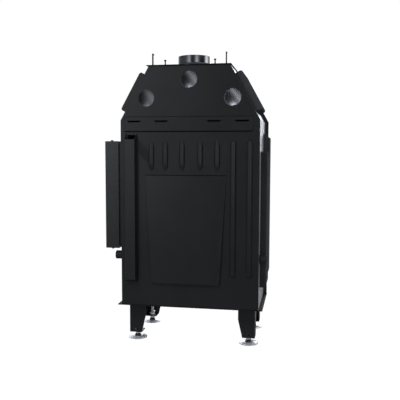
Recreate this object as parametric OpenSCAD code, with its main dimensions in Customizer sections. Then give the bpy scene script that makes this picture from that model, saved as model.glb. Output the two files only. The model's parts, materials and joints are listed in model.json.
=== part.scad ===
// Steel fireplace insert with a front door and one glazed side.
// The front faces -Y, the back panel faces +Y and the glazed side is +X.

/* [Casing] */
// Width of the casing across its side walls
casing_w = 650; // [620:1:680]
// Depth from the face of the back panel to the front plate
casing_d = 348; // [340:1:370]
// Height of the top of the base plate above the floor
casing_z = 187; // [180:1:200]
// Height from the firebox's top to the foot of the sloped hood
crown_gap = 46; // [40:1:70]
// Height of the sloped hood above the side walls
hood_h = 247; // [235:1:260]
// Width of the flat top of the hood
hood_top_w = 377; // [360:1:390]
// Sheet thickness of the casing
sheet = 3; // [2:0.5:4]
// Overhang of the front plate beyond the casing
flange = 17; // [8:1:22]
// Thickness of the base plate
base_t = 4; // [3:0.5:6]
// Overhang of the base plate at each side
base_overhang = 18.5; // [10:0.5:24]
// Overhang of the top plate beyond the hood
top_overhang = 5; // [3:0.5:8]

/* [Back panel] */
// Width of a pressed rib
rib_w = 28; // [22:1:32]
// Height that a pressed rib stands out
rib_h = 9; // [7:0.5:11]
// Length of a short louvre
louvre_l = 142; // [120:1:150]
// Length of the run-out at each end of a louvre
louvre_end = 35; // [20:1:44]
// Length of a long rib
rib_l = 630; // [560:1:650]
// Drop of the rib tops below the hood's foot
rib_drop = 92; // [88:1:110]
// Height of the slotted band
band_h = 66; // [60:1:72]
// Length of the slotted band
band_l = 597; // [580:1:610]
// Height that the slotted band stands out
band_d = 5; // [4:0.5:8]
// Width of a slot in the band, at its top
slot_w = 67; // [60:1:75]
// Height of a slot in the band
slot_h = 14; // [10:1:18]
// Top width of the rear cover plate
cover_top_w = 382; // [360:1:390]
// Bottom width of the rear cover plate
cover_bottom_w = 325; // [300:1:340]
// Height of the rear cover plate
cover_h = 505; // [470:1:515]
// Thickness of the rear cover plate
cover_t = 2.5; // [2:0.5:4]
// Rise of the cover plate's crown
cover_crown = 4; // [2:0.5:6]

/* [Air ducts] */
// Depth of an outer air duct
duct_d = 30; // [24:1:36]
// Width of the face of an air duct
duct_face_w = 48; // [44:1:56]
// Length of an air duct along the casing
duct_l = 694; // [660:1:710]
// Sheet thickness of ducts, boxes and shields
thin = 2; // [1.5:0.5:2.5]
// Height of the shield on the closed side
shield_h = 631; // [600:1:650]
// Height that the boxes on the hood stand out
hood_box_h = 32; // [24:1:36]
// Length of the boxes on the hood, along the slope
hood_box_l = 198; // [180:1:205]

/* [Flue and outlets] */
// Inner diameter of the flue collar
flue_d = 150; // [140:1:154]
// Wall of the flue collar
flue_wall = 2.5; // [2:0.5:4]
// Height of the flue collar above the top plate
flue_h = 52; // [40:1:70]
// Distance of the flue axis from the back panel
flue_back = 135; // [132:1:145]
// Diameter of the holes for hot air outlets
outlet_d = 81; // [76:1:84]
// Ring gap between an outlet plug and its hole
outlet_gap = 1.8; // [1:0.2:2.4]
// Outer diameter of the cross tube
tube_d = 40; // [30:1:44]
// Wall of the cross tube
tube_wall = 2.5; // [2:0.5:4]
// Length of the cross tube beyond each side wall
tube_out = 34; // [20:1:45]
// Outer diameter of the air intake spigot
intake_d = 125; // [110:1:130]

/* [Legs and feet] */
// Width of a leg's flange at its top
leg_w = 80; // [74:1:86]
// Width of a leg's flange at its foot
leg_foot_w = 60; // [54:1:66]
// Height of the lower end of a leg above the floor
leg_z = 33; // [30:1:38]
// Diameter of a foot disc
foot_d = 92; // [84:1:100]
// Diameter of a foot's threaded stud
stud_d = 16; // [14:1:18]
// Length of a foot's stud above the floor
stud_l = 96; // [90:1:110]

/* [Firebox] */
// Wall of the welded firebox
fire_wall = 4; // [3:0.5:6]
// Air gap between firebox and back panel
back_gap = 59; // [56:1:64]
// Air gap between firebox and the closed side wall
side_gap = 32; // [28:1:40]
// Height of the firebox above the base plate
fire_rise = 158; // [150:1:165]
// Outer height of the firebox
fire_h = 665; // [650:1:680]
// Thickness of the fireclay bricks on the walls
brick_t = 25; // [20:1:30]
// Thickness of the fireclay bricks on the floor
floor_t = 30; // [24:1:36]
// Thickness of the lower baffle
baffle_t = 20; // [15:1:25]

/* [Front and door] */
// Depth of the front frame before the front plate
front_d = 52; // [48:1:60]
// Thickness of the door frame
door_t = 20; // [18:1:24]
// Width of the door frame's bars
door_bar = 52; // [48:1:58]
// Width of the lip that the door closes against
lip = 12; // [10:1:14]
// Overlap of the door on the lip
door_lap = 22; // [20:1:24]
// Thickness of the door glass
glass_t = 4; // [4:0.5:5]
// Diameter of the rope seal
rope_d = 8.6; // [8:0.1:9]
// Distance that the glazed side frame stands out of the casing
side_box_d = 78; // [70:1:85]
// Height of the glazed side frame
side_box_h = 506; // [495:1:515]
// Diameter of the hinge pins
pin_d = 10; // [8:0.5:12]
// Length of the handle lever
lever_l = 62; // [50:1:70]

/* [Fits] */
// Gap between pieces that pass each other
clear = 0.3; // [0.2:0.1:0.5]
// Radial clearance of a shaft in its bore
run_fit = 0.05; // [0.02:0.01:0.1]
// Gap round a brick or a pane in its seat
seat_gap = 1; // [0.5:0.5:2]

/* [Hidden] */
$fn = 64;
hex = 6;
over = 1;

paint = [0.13, 0.135, 0.145];
dark_paint = [0.07, 0.07, 0.075];
zinc = [0.72, 0.73, 0.74];
bright_steel = [0.6, 0.6, 0.61];
raw_steel = [0.38, 0.38, 0.39];
cast_iron = [0.16, 0.16, 0.16];
fireclay = [0.78, 0.7, 0.56];
vermiculite = [0.72, 0.62, 0.42];
ceramic_glass = [0.35, 0.33, 0.3, 0.45];
rope_grey = [0.5, 0.5, 0.5];

// Heights of the casing
shoulder_z = casing_z + fire_rise + fire_h + crown_gap;
hood_z = shoulder_z + hood_h;
top_z = hood_z + sheet;
base_z = casing_z - base_t;
half_w = casing_w / 2;
slope_run = half_w - hood_top_w / 2;
lean = atan2(slope_run, hood_h);
front_y = -casing_d;
plate_y = front_y - sheet;
face_y = plate_y - front_d;

// Slotted band, louvres, ribs, duct and cover of the back panel
band_x = 7;
band_rise = 14;
band_z = shoulder_z + band_rise - band_h;
slot_drop = 16;
slot_foot_w = 40;
slot_x = [-251, -123, 123, 251];
tab_l = 12;
tab_w = 34;
tab_tilt = 60;
port_h = 26;
port_margin = 4;
rib_z = shoulder_z - rib_drop;
louvre_x = [177, 111, 32, -52, -131];
long_rib_x = [-205, -280];
rib_r = (rib_w * rib_w / 4 + rib_h * rib_h) / (2 * rib_h);
slit_x = 11;
slit_tip = 4;
cover_x = 17;
cover_gap = 21;
cover_z = rib_z - louvre_l - cover_gap - cover_h;
cover_r = (cover_top_w * cover_top_w / 4 + cover_crown * cover_crown) / (2 * cover_crown);
cover_corner = 5;
cover_fn = 360;
end_fn = 192;
screw_x = 18;
screw_z = [0.555, 0.265];
screw_d = 5;
screw_head_d = 9;
screw_head_h = 2.5;
screw_l = 14;

// Air ducts: flanks lean in from the casing to the face
duct_flank_out = 1;
duct_flank_in = 4;
duct_edge = 26.5;
duct_drop = 64;
duct_top_cut = 21;
duct_foot_cut = 13;
duct_z = shoulder_z - duct_drop - duct_l;
duct_base_w = duct_face_w + duct_flank_in + duct_flank_out;
duct_port_w = 36;
duct_port_h = 90;
duct_port_rise = 24;
duct_mouth_h = 44;
duct_mouth_drop = 4;
side_duct_front = 15;
side_duct_w = 100;
side_duct_lift = 8;
side_duct_y = front_y + side_duct_front;
side_shield_back = 60;
shield_gap = 10;
shield_drop = 145;
shield_z = shoulder_z - shield_drop - shield_h;
shield_chamfer = 8;

// Hood: boxes on the slopes, outlets, hooks and studs
hood_box_top = 42;
hood_box_back = 30;
hood_box_front = 70;
hood_box_r = 11;
outlet_high_drop = 63;
outlet_low_rise = 100.5;
outlet_high_z = hood_z - outlet_high_drop;
outlet_low_z = shoulder_z + outlet_low_rise;
outlet_low_x = 201;
plug_wall = 1.5;
plug_rim = 5.5;
plug_dish = 1.2;
plug_flat = 0.3;
hook_x = 170;
hook_back = 3;
hook_t = 5;
hook_w = 11;
hook_h = 53;
hook_nose = 14;
hook_nose_t = 5;
hook_r = 2.5;
top_rear = 6;
top_stud_x = 116;
top_stud_back = 27;
top_stud_d = 6;
top_stud_h = 26;
top_nut_w = 11;
top_nut_h = 6;
flue_flange_r = 118;
flue_rim_h = 6;
flue_flange_h = 12;
flue_r = flue_d / 2 + flue_wall;
dome_t = 4;
dome_foot_w = 480;
dome_top_w = 190;
dome_gap = 9;
dome_back = 48;
dome_mouth_w = 400;
dome_top_z = hood_z - dome_gap;
tube_back = 32;
tube_rise = 232;
tube_z = casing_z + tube_rise;

// Legs and feet
leg_t = 3;
leg_side = 20;
leg_rear = 64;
leg_front = 2;
leg_taper_z = 120;
leg_slot_l = 14;
leg_slot_w = 5;
leg_slot_z = 47;
leg_plate_t = 4;
stud_inset = 32;
foot_edge_t = 3;
foot_chamfer = 3;
foot_crown_d = 44;
foot_crown_z = 8;
boss_d = 32;
boss_top_d = 24;
boss_z = 18;
nut_w = 26;
nut_h = 13;
low_nut_h = 12;

// Firebox: the glazed side has no air gap
fire_x0 = -(half_w - sheet - side_gap);
fire_x1 = half_w - sheet;
fire_y1 = -(sheet + back_gap);
fire_z0 = casing_z + fire_rise;
fire_z1 = fire_z0 + fire_h;
in_x0 = fire_x0 + fire_wall;
in_x1 = fire_x1 - fire_wall;
in_y1 = fire_y1 - fire_wall;
in_z0 = fire_z0 + fire_wall;
in_z1 = fire_z1 - fire_wall;
fire_x = (in_x0 + in_x1) / 2;
brick_y = in_y1 - brick_t;
brick_x = in_x0 + brick_t;
brick_gap = 3;
brick_front = front_y + brick_gap;
brick_drop = 78;
brick_z = in_z1 - brick_drop;
sill_z = 116;
grate_w = 246;
grate_d = 136;
grate_t = 14;
grate_ledge = 13;
grate_back = 34;
grate_y1 = brick_y - grate_back;
grate_y0 = grate_y1 - grate_d;
grate_slots = 11;
grate_slot_w = 10;
grate_rim = 18;
lower_baffle_gap = 55;
upper_baffle_t = 4;
upper_baffle_gap = 78;
baffle_rise = 26;
rail_w = 15;
rail_h = 12;
guard_d = 12;
guard_l = 470;
guard_post_x = 190;
guard_rise = 52;
guard_back = 14;

// Ash chamber, ash pan and combustion air
ash_w = 224;
ash_h = 68;
ash_d = 222;
ash_t = 3;
ash_z = fire_z0 - ash_h;
pan_gap = 4;
pan_t = 1.5;
pan_h = 56;
pan_front_lap = 14;
pan_front_t = 6;
pan_pull_w = 90;
pan_pull_d = 8;
pan_pull_out = 22;
pan_bar_d = 10;
air_w = 200;
air_h = 70;
air_d = 200;
intake_wall = 2.5;
intake_out = 44;
intake_flange = 10;
intake_bead = 2.5;
intake_bead_t = 1.5;
intake_front = 98;
port_w = 24;
port_z = casing_z + 38;
air_port_h = 14;
port_step = 50;
slider_w = 190;
slider_h = 26;
slider_t = 3;
guide_t = 3;
guide_lap = 4;
guide_h = 8;
stem_d = 8;
stem_x = -70;
air_travel = 25;
stem_slot_gap = 2;
knob_d = 22;
knob_l = 18;
stem_out = 24;

// Front frame, door opening and door
mouth_x0 = in_x0 + lip;
mouth_x1 = in_x1;
mouth_rise = 76;
mouth_drop = 31;
mouth_z0 = in_z0 + mouth_rise;
mouth_z1 = in_z1 - mouth_drop;
open_x0 = mouth_x0 + lip;
open_x1 = mouth_x1 - lip;
open_z0 = mouth_z0 + lip;
open_z1 = mouth_z1 - lip;
frame_x0 = -half_w;
frame_x1 = half_w + side_box_d;
frame_z1 = fire_z1;
door_gap = 4;
door_x0 = open_x0 - door_lap;
door_x1 = open_x1 + door_lap;
door_z0 = open_z0 - door_lap;
door_z1 = open_z1 + door_lap;
door_back = face_y - door_gap;
door_face = door_back - door_t;
rebate = 10;
glass_lip = 10;
rope_groove = 9;
groove_depth = 5;
rope_inset = door_lap / 2;
rope_corner = 16;
clip_w = 26;
clip_h = 16;
clip_t = 3;
clip_share = [0.2, 0.8];
flange_ear_drop = 32;
flange_ear_w = 29;
flange_ear_cut = 10;

// Hinge, lever and latch
hinge_out = 16;
hinge_end = 90;
hinge_x = door_x0 - hinge_out;
hinge_y = door_face + door_t / 2;
hinge_z = [door_z0 + hinge_end, door_z1 - hinge_end];
lug_r = 9;
lug_h = 14;
stack_h = 3 * lug_h + 2 * clear;
leaf_w = 22;
leaf_t = 5;
pin_head_d = 14;
pin_head_h = 4;
spindle_d = 12;
spindle_in = 9;
spindle_x = open_x1 - spindle_in;
spindle_z = (open_z0 + open_z1) / 2;
cam_reach = 17;
cam_w = 14;
cam_t = 7;
cam_gap = 2;
hub_d = 28;
hub_t = 34;
lever_w = 15;
lever_t = 8;
grip_d = 20;
grip_l = 96;

// Frame of the glazed side
neck = 13;
neck_recess = 12;
side_drop = 46;
side_z1 = in_z1 - side_drop;
side_z0 = side_z1 - side_box_h;
side_back = 6;
side_y1 = -side_back;
side_face_x = half_w + side_box_d - thin;
side_rim = 46;
window_front = 28;
window_y0 = front_y + window_front;
window_y1 = brick_y - over;
window_z0 = side_z0 + side_rim;
window_z1 = side_z1 - side_rim;
pane_t = 5;
pane_lap = 12;
side_bolt_out = 48;
side_bolt_x = half_w + side_bolt_out;
side_bolt_back = 16;
side_bolt_w = 13;
side_bolt_h = 5;

// The origin is under the middle of the whole object
span_x0 = -max(half_w + tube_out, half_w + duct_d);
span_x1 = frame_x1;
span_y0 = door_face - clear - hub_t - grip_d / 2 + lever_t / 2;
span_y1 = duct_d;

module place() {
    translate([-(span_x0 + span_x1) / 2, -(span_y0 + span_y1) / 2, 0]) children();
}

module block(x0, x1, y0, y1, z0, z1) {
    translate([x0, y0, z0]) cube([x1 - x0, y1 - y0, z1 - z0]);
}

// A drawing in X and Z, made solid from y0 to y1
module along_y(y0, y1) {
    translate([0, y1, 0]) rotate([90, 0, 0]) linear_extrude(y1 - y0) children();
}

// A drawing in Y and Z, made solid from x0 to x1
module along_x(x0, x1) {
    translate([x0, 0, 0]) rotate([90, 0, 90]) linear_extrude(x1 - x0) children();
}

module rod_y(x, z, y0, y1, d) {
    translate([x, y1, z]) rotate([90, 0, 0]) cylinder(d = d, h = y1 - y0);
}

module rod_x(y, z, x0, x1, d) {
    translate([x0, y, z]) rotate([0, 90, 0]) cylinder(d = d, h = x1 - x0);
}

module rounded_rect(x0, x1, z0, z1, r) {
    translate([x0 + r, z0]) square([x1 - x0 - 2 * r, z1 - z0]);
    translate([x0, z0 + r]) square([x1 - x0, z1 - z0 - 2 * r]);
    for (x = [x0 + r, x1 - r], z = [z0 + r, z1 - r]) translate([x, z]) circle(r);
}

// Outline of the casing seen from behind, moved in by inset
function half_outline(inset, z0, z1) = [
    [half_w - inset, z0],
    [half_w - inset, shoulder_z - inset * tan(lean / 2)],
    [half_w - inset / cos(lean) - (z1 - shoulder_z) * tan(lean), z1]];
function mirrored(points) = [for (i = [len(points) - 1:-1:0]) [-points[i][0], points[i][1]]];
function outline(inset, z0, z1) =
    concat(half_outline(inset, z0, z1), mirrored(half_outline(inset, z0, z1)));

// Upright spindle that presses a rib out of the back panel; each end runs out over end_l
module rib_core(x, length, end_l, inset) {
    end_r = (end_l * end_l + rib_h * rib_h) / (2 * rib_h);
    straight = length - 2 * end_l;
    translate([x, rib_h - rib_r, rib_z - length + end_l]) rotate_extrude() intersection() {
        union() {
            square([rib_r - inset, straight]);
            for (z = [0, straight]) translate([rib_r - end_r, z])
                circle(end_r - inset, $fn = end_fn);
        }
        translate([0, -end_r]) square([rib_r, straight + 2 * end_r]);
    }
}

module rib(x, length, end_l) {
    intersection() {
        rib_core(x, length, end_l, 0);
        block(x - rib_w, x + rib_w, -sheet / 2, rib_h + over, rib_z - length - rib_w,
            rib_z + rib_w);
    }
}

// Opening along one flank of a louvre; it follows the louvre's run-outs
module louvre_slit(x) along_y(0, rib_h + over) polygon([
    [x + slit_x, rib_z - louvre_end], [x + slit_tip, rib_z], [x + rib_w, rib_z],
    [x + rib_w, rib_z - louvre_l], [x + slit_tip, rib_z - louvre_l],
    [x + slit_x, rib_z - louvre_l + louvre_end]]);

module back_panel() color(paint) place() difference() {
    union() {
        along_y(-sheet, 0) polygon(outline(0, casing_z, hood_z));
        for (x = louvre_x) rib(x, louvre_l, louvre_end);
        for (x = long_rib_x) rib(x, rib_l, rib_w / 2);
    }
    for (x = louvre_x) {
        rib_core(x, louvre_l, louvre_end, sheet / 2);
        louvre_slit(x);
    }
    for (x = long_rib_x) rib_core(x, rib_l, rib_w / 2, sheet / 2);
    for (x = slot_x) block(band_x + x - slot_w / 2 - port_margin,
        band_x + x + slot_w / 2 + port_margin, -sheet - over, over,
        band_z + band_h - slot_drop - port_h + port_margin,
        band_z + band_h - slot_drop + port_margin);
    outlet_bores();
    for (share = screw_z) rod_y(screw_x, cover_z + share * cover_h, -sheet - over, over, screw_d);
    duct_port(duct_z + duct_port_rise, duct_port_h);
    duct_port(duct_z + duct_l - duct_mouth_drop - duct_mouth_h, duct_mouth_h);
}

// Port in the back panel behind the back air duct
module duct_port(z, h) {
    x = half_w - duct_edge - duct_base_w / 2;
    block(x - duct_port_w / 2, x + duct_port_w / 2, -sheet - over, over, z, z + h);
}

module outlet_bores() {
    rod_y(0, outlet_high_z, -sheet - over, over, outlet_d);
    for (x = [-outlet_low_x, outlet_low_x]) rod_y(x, outlet_low_z, -sheet - over, over, outlet_d);
}

// Spun blanking plug: a rim behind the panel and a shallow dished face in the hole
module plug() {
    face_r = outlet_d / 2 - outlet_gap;
    rim_r = outlet_d / 2 + plug_rim;
    rotate([-90, 0, 0]) rotate_extrude() polygon([
        [0, -sheet / 2 - plug_dish], [face_r * plug_flat, -sheet / 2 - plug_dish],
        [face_r - plug_wall, -sheet / 2], [face_r - plug_wall, 0], [face_r, 0],
        [face_r, -sheet], [rim_r, -sheet], [rim_r, -sheet - plug_wall],
        [face_r - plug_wall, -sheet - plug_wall],
        [face_r - plug_wall, -sheet / 2 - plug_wall],
        [face_r * plug_flat, -sheet / 2 - plug_dish - plug_wall],
        [0, -sheet / 2 - plug_dish - plug_wall]]);
}

module outlet_plugs() color(bright_steel) place() {
    translate([0, 0, outlet_high_z]) plug();
    for (x = [-outlet_low_x, outlet_low_x]) translate([x, 0, outlet_low_z]) plug();
}

module casing_wall_left() color(paint) place() difference() {
    block(-half_w, -half_w + sheet, front_y, -sheet, casing_z, shoulder_z);
    rod_x(-tube_back, tube_z, -half_w - over, -half_w + sheet + over, tube_d);
}

module casing_wall_right() color(paint) place() difference() {
    block(half_w - sheet, half_w, front_y, -sheet, casing_z, shoulder_z);
    rod_x(-tube_back, tube_z, half_w - sheet - over, half_w + over, tube_d);
    block(half_w - sheet - over, half_w + over, window_y0, window_y1, window_z0, window_z1);
}

// One sloped side of the hood; side is 1 for +X and -1 for -X
module hood_side(side) intersection() {
    along_y(front_y, -sheet) difference() {
        polygon(outline(0, casing_z, hood_z));
        polygon(outline(sheet, casing_z - over, hood_z + over));
    }
    block(side > 0 ? 0 : -casing_w, side > 0 ? casing_w : 0, front_y, -sheet, shoulder_z, hood_z);
}

module hood_side_left() color(paint) place() hood_side(-1);
module hood_side_right() color(paint) place() hood_side(1);

module top_plate() color(paint) place() difference() {
    block(-hood_top_w / 2 - top_overhang, hood_top_w / 2 + 2 * top_overhang,
        plate_y, top_rear, hood_z, top_z);
    translate([0, -flue_back, hood_z - over]) cylinder(r = flue_r, h = sheet + 2 * over);
    for (x = [-top_stud_x, top_stud_x])
        translate([x, -top_stud_back, hood_z - over]) cylinder(d = top_stud_d, h = sheet + 2 * over);
}

module front_plate_outline() difference() {
    polygon(concat([[half_w + flange - flange_ear_cut, base_z - flange_ear_drop]],
        [[half_w + flange, base_z]], [for (i = [1:2]) half_outline(-flange, base_z, hood_z)[i]],
        [for (i = [0:1]) mirrored(half_outline(-flange, base_z, hood_z))[i]],
        [[-half_w - flange, base_z]],
        [[-half_w - flange + flange_ear_cut, base_z - flange_ear_drop]]));
    translate([-half_w - flange + flange_ear_w, base_z - flange_ear_drop - over])
        square([casing_w + 2 * flange - 2 * flange_ear_w, flange_ear_drop + over]);
    translate([mouth_x0, mouth_z0]) square([mouth_x1 - mouth_x0, mouth_z1 - mouth_z0]);
    translate([fire_x - ash_w / 2, ash_z]) square([ash_w, ash_h]);
    for (i = [-1:1]) translate([fire_x + i * port_step - port_w / 2, port_z - air_port_h / 2])
        square([port_w, air_port_h]);
}

module slider_guide(side) {
    edge = slider_h / 2 + clear;
    translate([fire_x, 0, port_z]) mirror([0, 0, side < 0 ? 1 : 0]) {
        block(-slider_w / 2, slider_w / 2, plate_y - slider_t - 2 * clear - guide_t,
            plate_y, edge, edge + guide_h);
        block(-slider_w / 2, slider_w / 2, plate_y - slider_t - 2 * clear - guide_t,
            plate_y - slider_t - 2 * clear, edge - guide_lap, edge);
    }
}

module front_plate() color(paint) place() {
    along_y(plate_y, front_y) front_plate_outline();
    for (side = [-1, 1]) slider_guide(side);
}

module base_plate() color(paint) place() difference() {
    block(-half_w - base_overhang, half_w + base_overhang, front_y, base_t, base_z, casing_z);
    translate([fire_x, front_y + intake_front, base_z - over])
        cylinder(d = intake_d, h = base_t + 2 * over);
}

module slot_outline() polygon([[-slot_w / 2, 0], [-slot_foot_w / 2, -slot_h],
    [slot_foot_w / 2, -slot_h], [slot_w / 2, 0]]);

module louvre_band() color(paint) place() {
    top = band_z + band_h - slot_drop;
    difference() {
        block(band_x - band_l / 2, band_x + band_l / 2, 0, band_d, band_z, band_z + band_h);
        block(band_x - band_l / 2 + thin, band_x + band_l / 2 - thin, -over, band_d - thin,
            band_z + thin, band_z + band_h - thin);
        for (x = slot_x) translate([band_x + x, 0, top]) along_y(-over, band_d + over)
            slot_outline();
    }
    for (x = slot_x) translate([band_x + x, band_d - thin, top - slot_h]) rotate([tab_tilt, 0, 0])
        block(-tab_w / 2, tab_w / 2, -thin / 2, 0, -thin, tab_l);
}

module cover_outline() {
    top = cover_z + cover_h;
    polygon([[cover_x - cover_bottom_w / 2 + cover_corner, cover_z],
        [cover_x + cover_bottom_w / 2 - cover_corner, cover_z],
        [cover_x + cover_bottom_w / 2, cover_z + cover_corner],
        [cover_x + cover_top_w / 2, top - cover_corner],
        [cover_x + cover_top_w / 2 - cover_corner, top],
        [cover_x - cover_top_w / 2 + cover_corner, top],
        [cover_x - cover_top_w / 2, top - cover_corner],
        [cover_x - cover_bottom_w / 2, cover_z + cover_corner]]);
}

module rear_cover_plate() color(paint) place() difference() {
    intersection() {
        along_y(0, cover_t + cover_crown + over) cover_outline();
        translate([cover_x, cover_t + cover_crown - cover_r, cover_z - over])
            cylinder(r = cover_r, h = cover_h + 2 * over, $fn = cover_fn);
    }
    translate([cover_x, cover_t + cover_crown - cover_r, cover_z - 2 * over])
        cylinder(r = cover_r - cover_t, h = cover_h + 4 * over, $fn = cover_fn);
    for (share = screw_z) rod_y(screw_x, cover_z + share * cover_h, -over,
        cover_t + cover_crown + over, screw_d);
}

module cover_screws() color(dark_paint) place() for (share = screw_z) {
    z = cover_z + share * cover_h;
    rod_y(screw_x, z, cover_t + cover_crown - screw_l, cover_t + cover_crown, screw_d);
    rod_y(screw_x, z, cover_t + cover_crown, cover_t + cover_crown + screw_head_h, screw_head_d);
}

// Plan and side profile of a folded duct on a wall; its top end is open
module duct_plan(w, inset) {
    d = duct_d - inset;
    left = -w + duct_flank_in * d / duct_d;
    right = -duct_flank_out * d / duct_d;
    polygon([[-w + inset, 0], [left + inset, d], [right - inset, d], [-inset, 0]]);
}

module duct_profile(inset, open) polygon([[0, duct_z + inset],
    [duct_d - inset, duct_z + duct_foot_cut + inset],
    [duct_d - inset, duct_z + duct_l - duct_top_cut + open],
    [0, duct_z + duct_l + open]]);

module folded_duct(w) difference() {
    intersection() {
        translate([0, 0, duct_z - over]) linear_extrude(duct_l + 2 * over) duct_plan(w, 0);
        along_x(-w - over, over) duct_profile(0, 0);
    }
    intersection() {
        translate([0, 0, duct_z - over])
            linear_extrude(duct_l + 2 * duct_top_cut) duct_plan(w, thin);
        along_x(-w - over, over) duct_profile(thin, duct_top_cut);
    }
}

module back_air_duct() color(paint) place()
    translate([half_w - duct_edge, 0, 0]) folded_duct(duct_base_w);

module side_air_duct() color(paint) place()
    translate([-half_w, side_duct_y + side_duct_w, side_duct_lift]) rotate([0, 0, 90])
        folded_duct(side_duct_w);

module side_shield() color(paint) place() {
    y1 = -side_shield_back;
    y0 = side_duct_y + side_duct_w + shield_gap;
    z1 = shield_z + shield_h;
    difference() {
        along_y(y0, y1) polygon([[-half_w, shield_z], [-half_w, z1],
            [-half_w - duct_d + shield_chamfer, z1], [-half_w - duct_d, z1 - shield_chamfer],
            [-half_w - duct_d, shield_z + shield_chamfer],
            [-half_w - duct_d + shield_chamfer, shield_z]]);
        block(-half_w - duct_d + thin, -half_w + over, y0 + thin, y1 - thin,
            shield_z + shield_chamfer, z1 - shield_chamfer);
    }
}

// Pressed box on a hood slope, drawn along the slope from the hood's top edge
module hood_box_shape(inset, y0, y1) along_y(y0, y1) {
    l = hood_box_l - 2 * inset;
    h = hood_box_h - inset;
    r = hood_box_r - inset;
    translate([inset, 0]) {
        square([l, h - r]);
        translate([r, 0]) square([l - 2 * r, h]);
        for (x = [r, l - r]) translate([x, h - r]) circle(r);
    }
}

module hood_box() {
    y0 = front_y + hood_box_front;
    translate([hood_top_w / 2, 0, hood_z]) rotate([0, 90 - lean, 0])
        translate([hood_box_top, 0, 0]) difference() {
            hood_box_shape(0, y0, -hood_box_back);
            translate([0, 0, -over]) hood_box_shape(thin, y0 + thin, -hood_box_back - thin);
        }
}

module hood_box_right() color(paint) place() hood_box();
module hood_box_left() color(paint) place() mirror([1, 0, 0]) hood_box();

// Lifting hook: an upright plate with a nose bent to the front
module hook() along_x(-hook_t / 2, hook_t / 2) {
    translate([-hook_w, 0]) square([hook_w, hook_h - hook_r]);
    translate([-hook_w - hook_nose, hook_h - hook_nose_t])
        square([hook_w + hook_nose - hook_r, hook_nose_t]);
    translate([-hook_r, hook_h - hook_r]) circle(hook_r);
}

module lifting_hooks() color(dark_paint) place()
    for (x = [-hook_x, hook_x]) translate([x, -hook_back, top_z]) hook();

module top_studs() color(dark_paint) place() for (x = [-top_stud_x, top_stud_x])
    translate([x, -top_stud_back, 0]) {
        translate([0, 0, hood_z]) cylinder(d = top_stud_d, h = sheet + top_stud_h);
        translate([0, 0, top_z + top_stud_h - top_nut_h])
            cylinder(d = top_nut_w, h = top_nut_h, $fn = hex);
    }

module flue_collar() color(bright_steel) place() translate([0, -flue_back, 0]) rotate_extrude()
    polygon([[flue_d / 2, dome_top_z], [flue_r, dome_top_z], [flue_r, top_z],
        [flue_flange_r, top_z], [flue_flange_r, top_z + flue_rim_h],
        [flue_r, top_z + flue_flange_h], [flue_r, top_z + flue_h],
        [flue_d / 2, top_z + flue_h]]);

module cross_tube() color(zinc) place() difference() {
    rod_x(-tube_back, tube_z, -half_w - tube_out, half_w + tube_out, tube_d);
    rod_x(-tube_back, tube_z, -half_w - tube_out - over, half_w + tube_out + over,
        tube_d - 2 * tube_wall);
}

// Leg of folded sheet: its outer corner is at the origin, both flanges run to +X and +Y
module leg_flange() polygon([[0, leg_z], [leg_foot_w, leg_z], [leg_w, leg_taper_z],
    [leg_w, base_z], [0, base_z]]);

module leg() difference() {
    union() {
        along_y(0, leg_t) leg_flange();
        along_x(0, leg_t) leg_flange();
        block(0, leg_foot_w, 0, leg_foot_w, leg_z, leg_z + leg_plate_t);
    }
    translate([stud_inset, stud_inset, leg_z - over])
        cylinder(d = stud_d + 2 * clear, h = leg_plate_t + 2 * over);
    for (dx = [-1, 1]) translate([stud_inset + dx * (leg_slot_l - leg_slot_w) / 2, 0, 0])
        rod_y(0, leg_slot_z, -over, leg_t + over, leg_slot_w);
    block(stud_inset - (leg_slot_l - leg_slot_w) / 2, stud_inset + (leg_slot_l - leg_slot_w) / 2,
        -over, leg_t + over, leg_slot_z - leg_slot_w / 2, leg_slot_z + leg_slot_w / 2);
}

module at_corner(side, front) translate([side * (half_w - leg_side),
    front ? face_y - leg_front : -leg_rear, 0])
    mirror([side > 0 ? 1 : 0, 0, 0]) mirror([0, front ? 0 : 1, 0]) children();

module leg_rear_left() color(paint) place() at_corner(-1, false) leg();
module leg_rear_right() color(paint) place() at_corner(1, false) leg();
module leg_front_left() color(paint) place() at_corner(-1, true) leg();
module leg_front_right() color(paint) place() at_corner(1, true) leg();

// Levelling foot: a pressed disc, a boss and a stud in one turned piece
module foot() translate([stud_inset, stud_inset, 0]) rotate_extrude() polygon([
    [0, 0], [foot_d / 2, 0], [foot_d / 2, foot_edge_t],
    [foot_d / 2 - foot_chamfer, foot_edge_t + foot_chamfer], [foot_crown_d / 2, foot_crown_z],
    [boss_d / 2, foot_crown_z], [boss_top_d / 2, boss_z], [stud_d / 2, boss_z],
    [stud_d / 2, stud_l], [0, stud_l]]);

module foot_rear_left() color(zinc) place() at_corner(-1, false) foot();
module foot_rear_right() color(zinc) place() at_corner(1, false) foot();
module foot_front_left() color(zinc) place() at_corner(-1, true) foot();
module foot_front_right() color(zinc) place() at_corner(1, true) foot();

module nut(z, h) translate([stud_inset, stud_inset, z]) difference() {
    cylinder(d = nut_w, h = h, $fn = hex);
    translate([0, 0, -over]) cylinder(r = stud_d / 2 + run_fit, h = h + 2 * over);
}

module leg_nuts() color(zinc) place() for (side = [-1, 1], front = [false, true])
    at_corner(side, front) {
        nut(leg_z + leg_plate_t, nut_h);
        nut(leg_z - low_nut_h, low_nut_h);
    }

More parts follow.
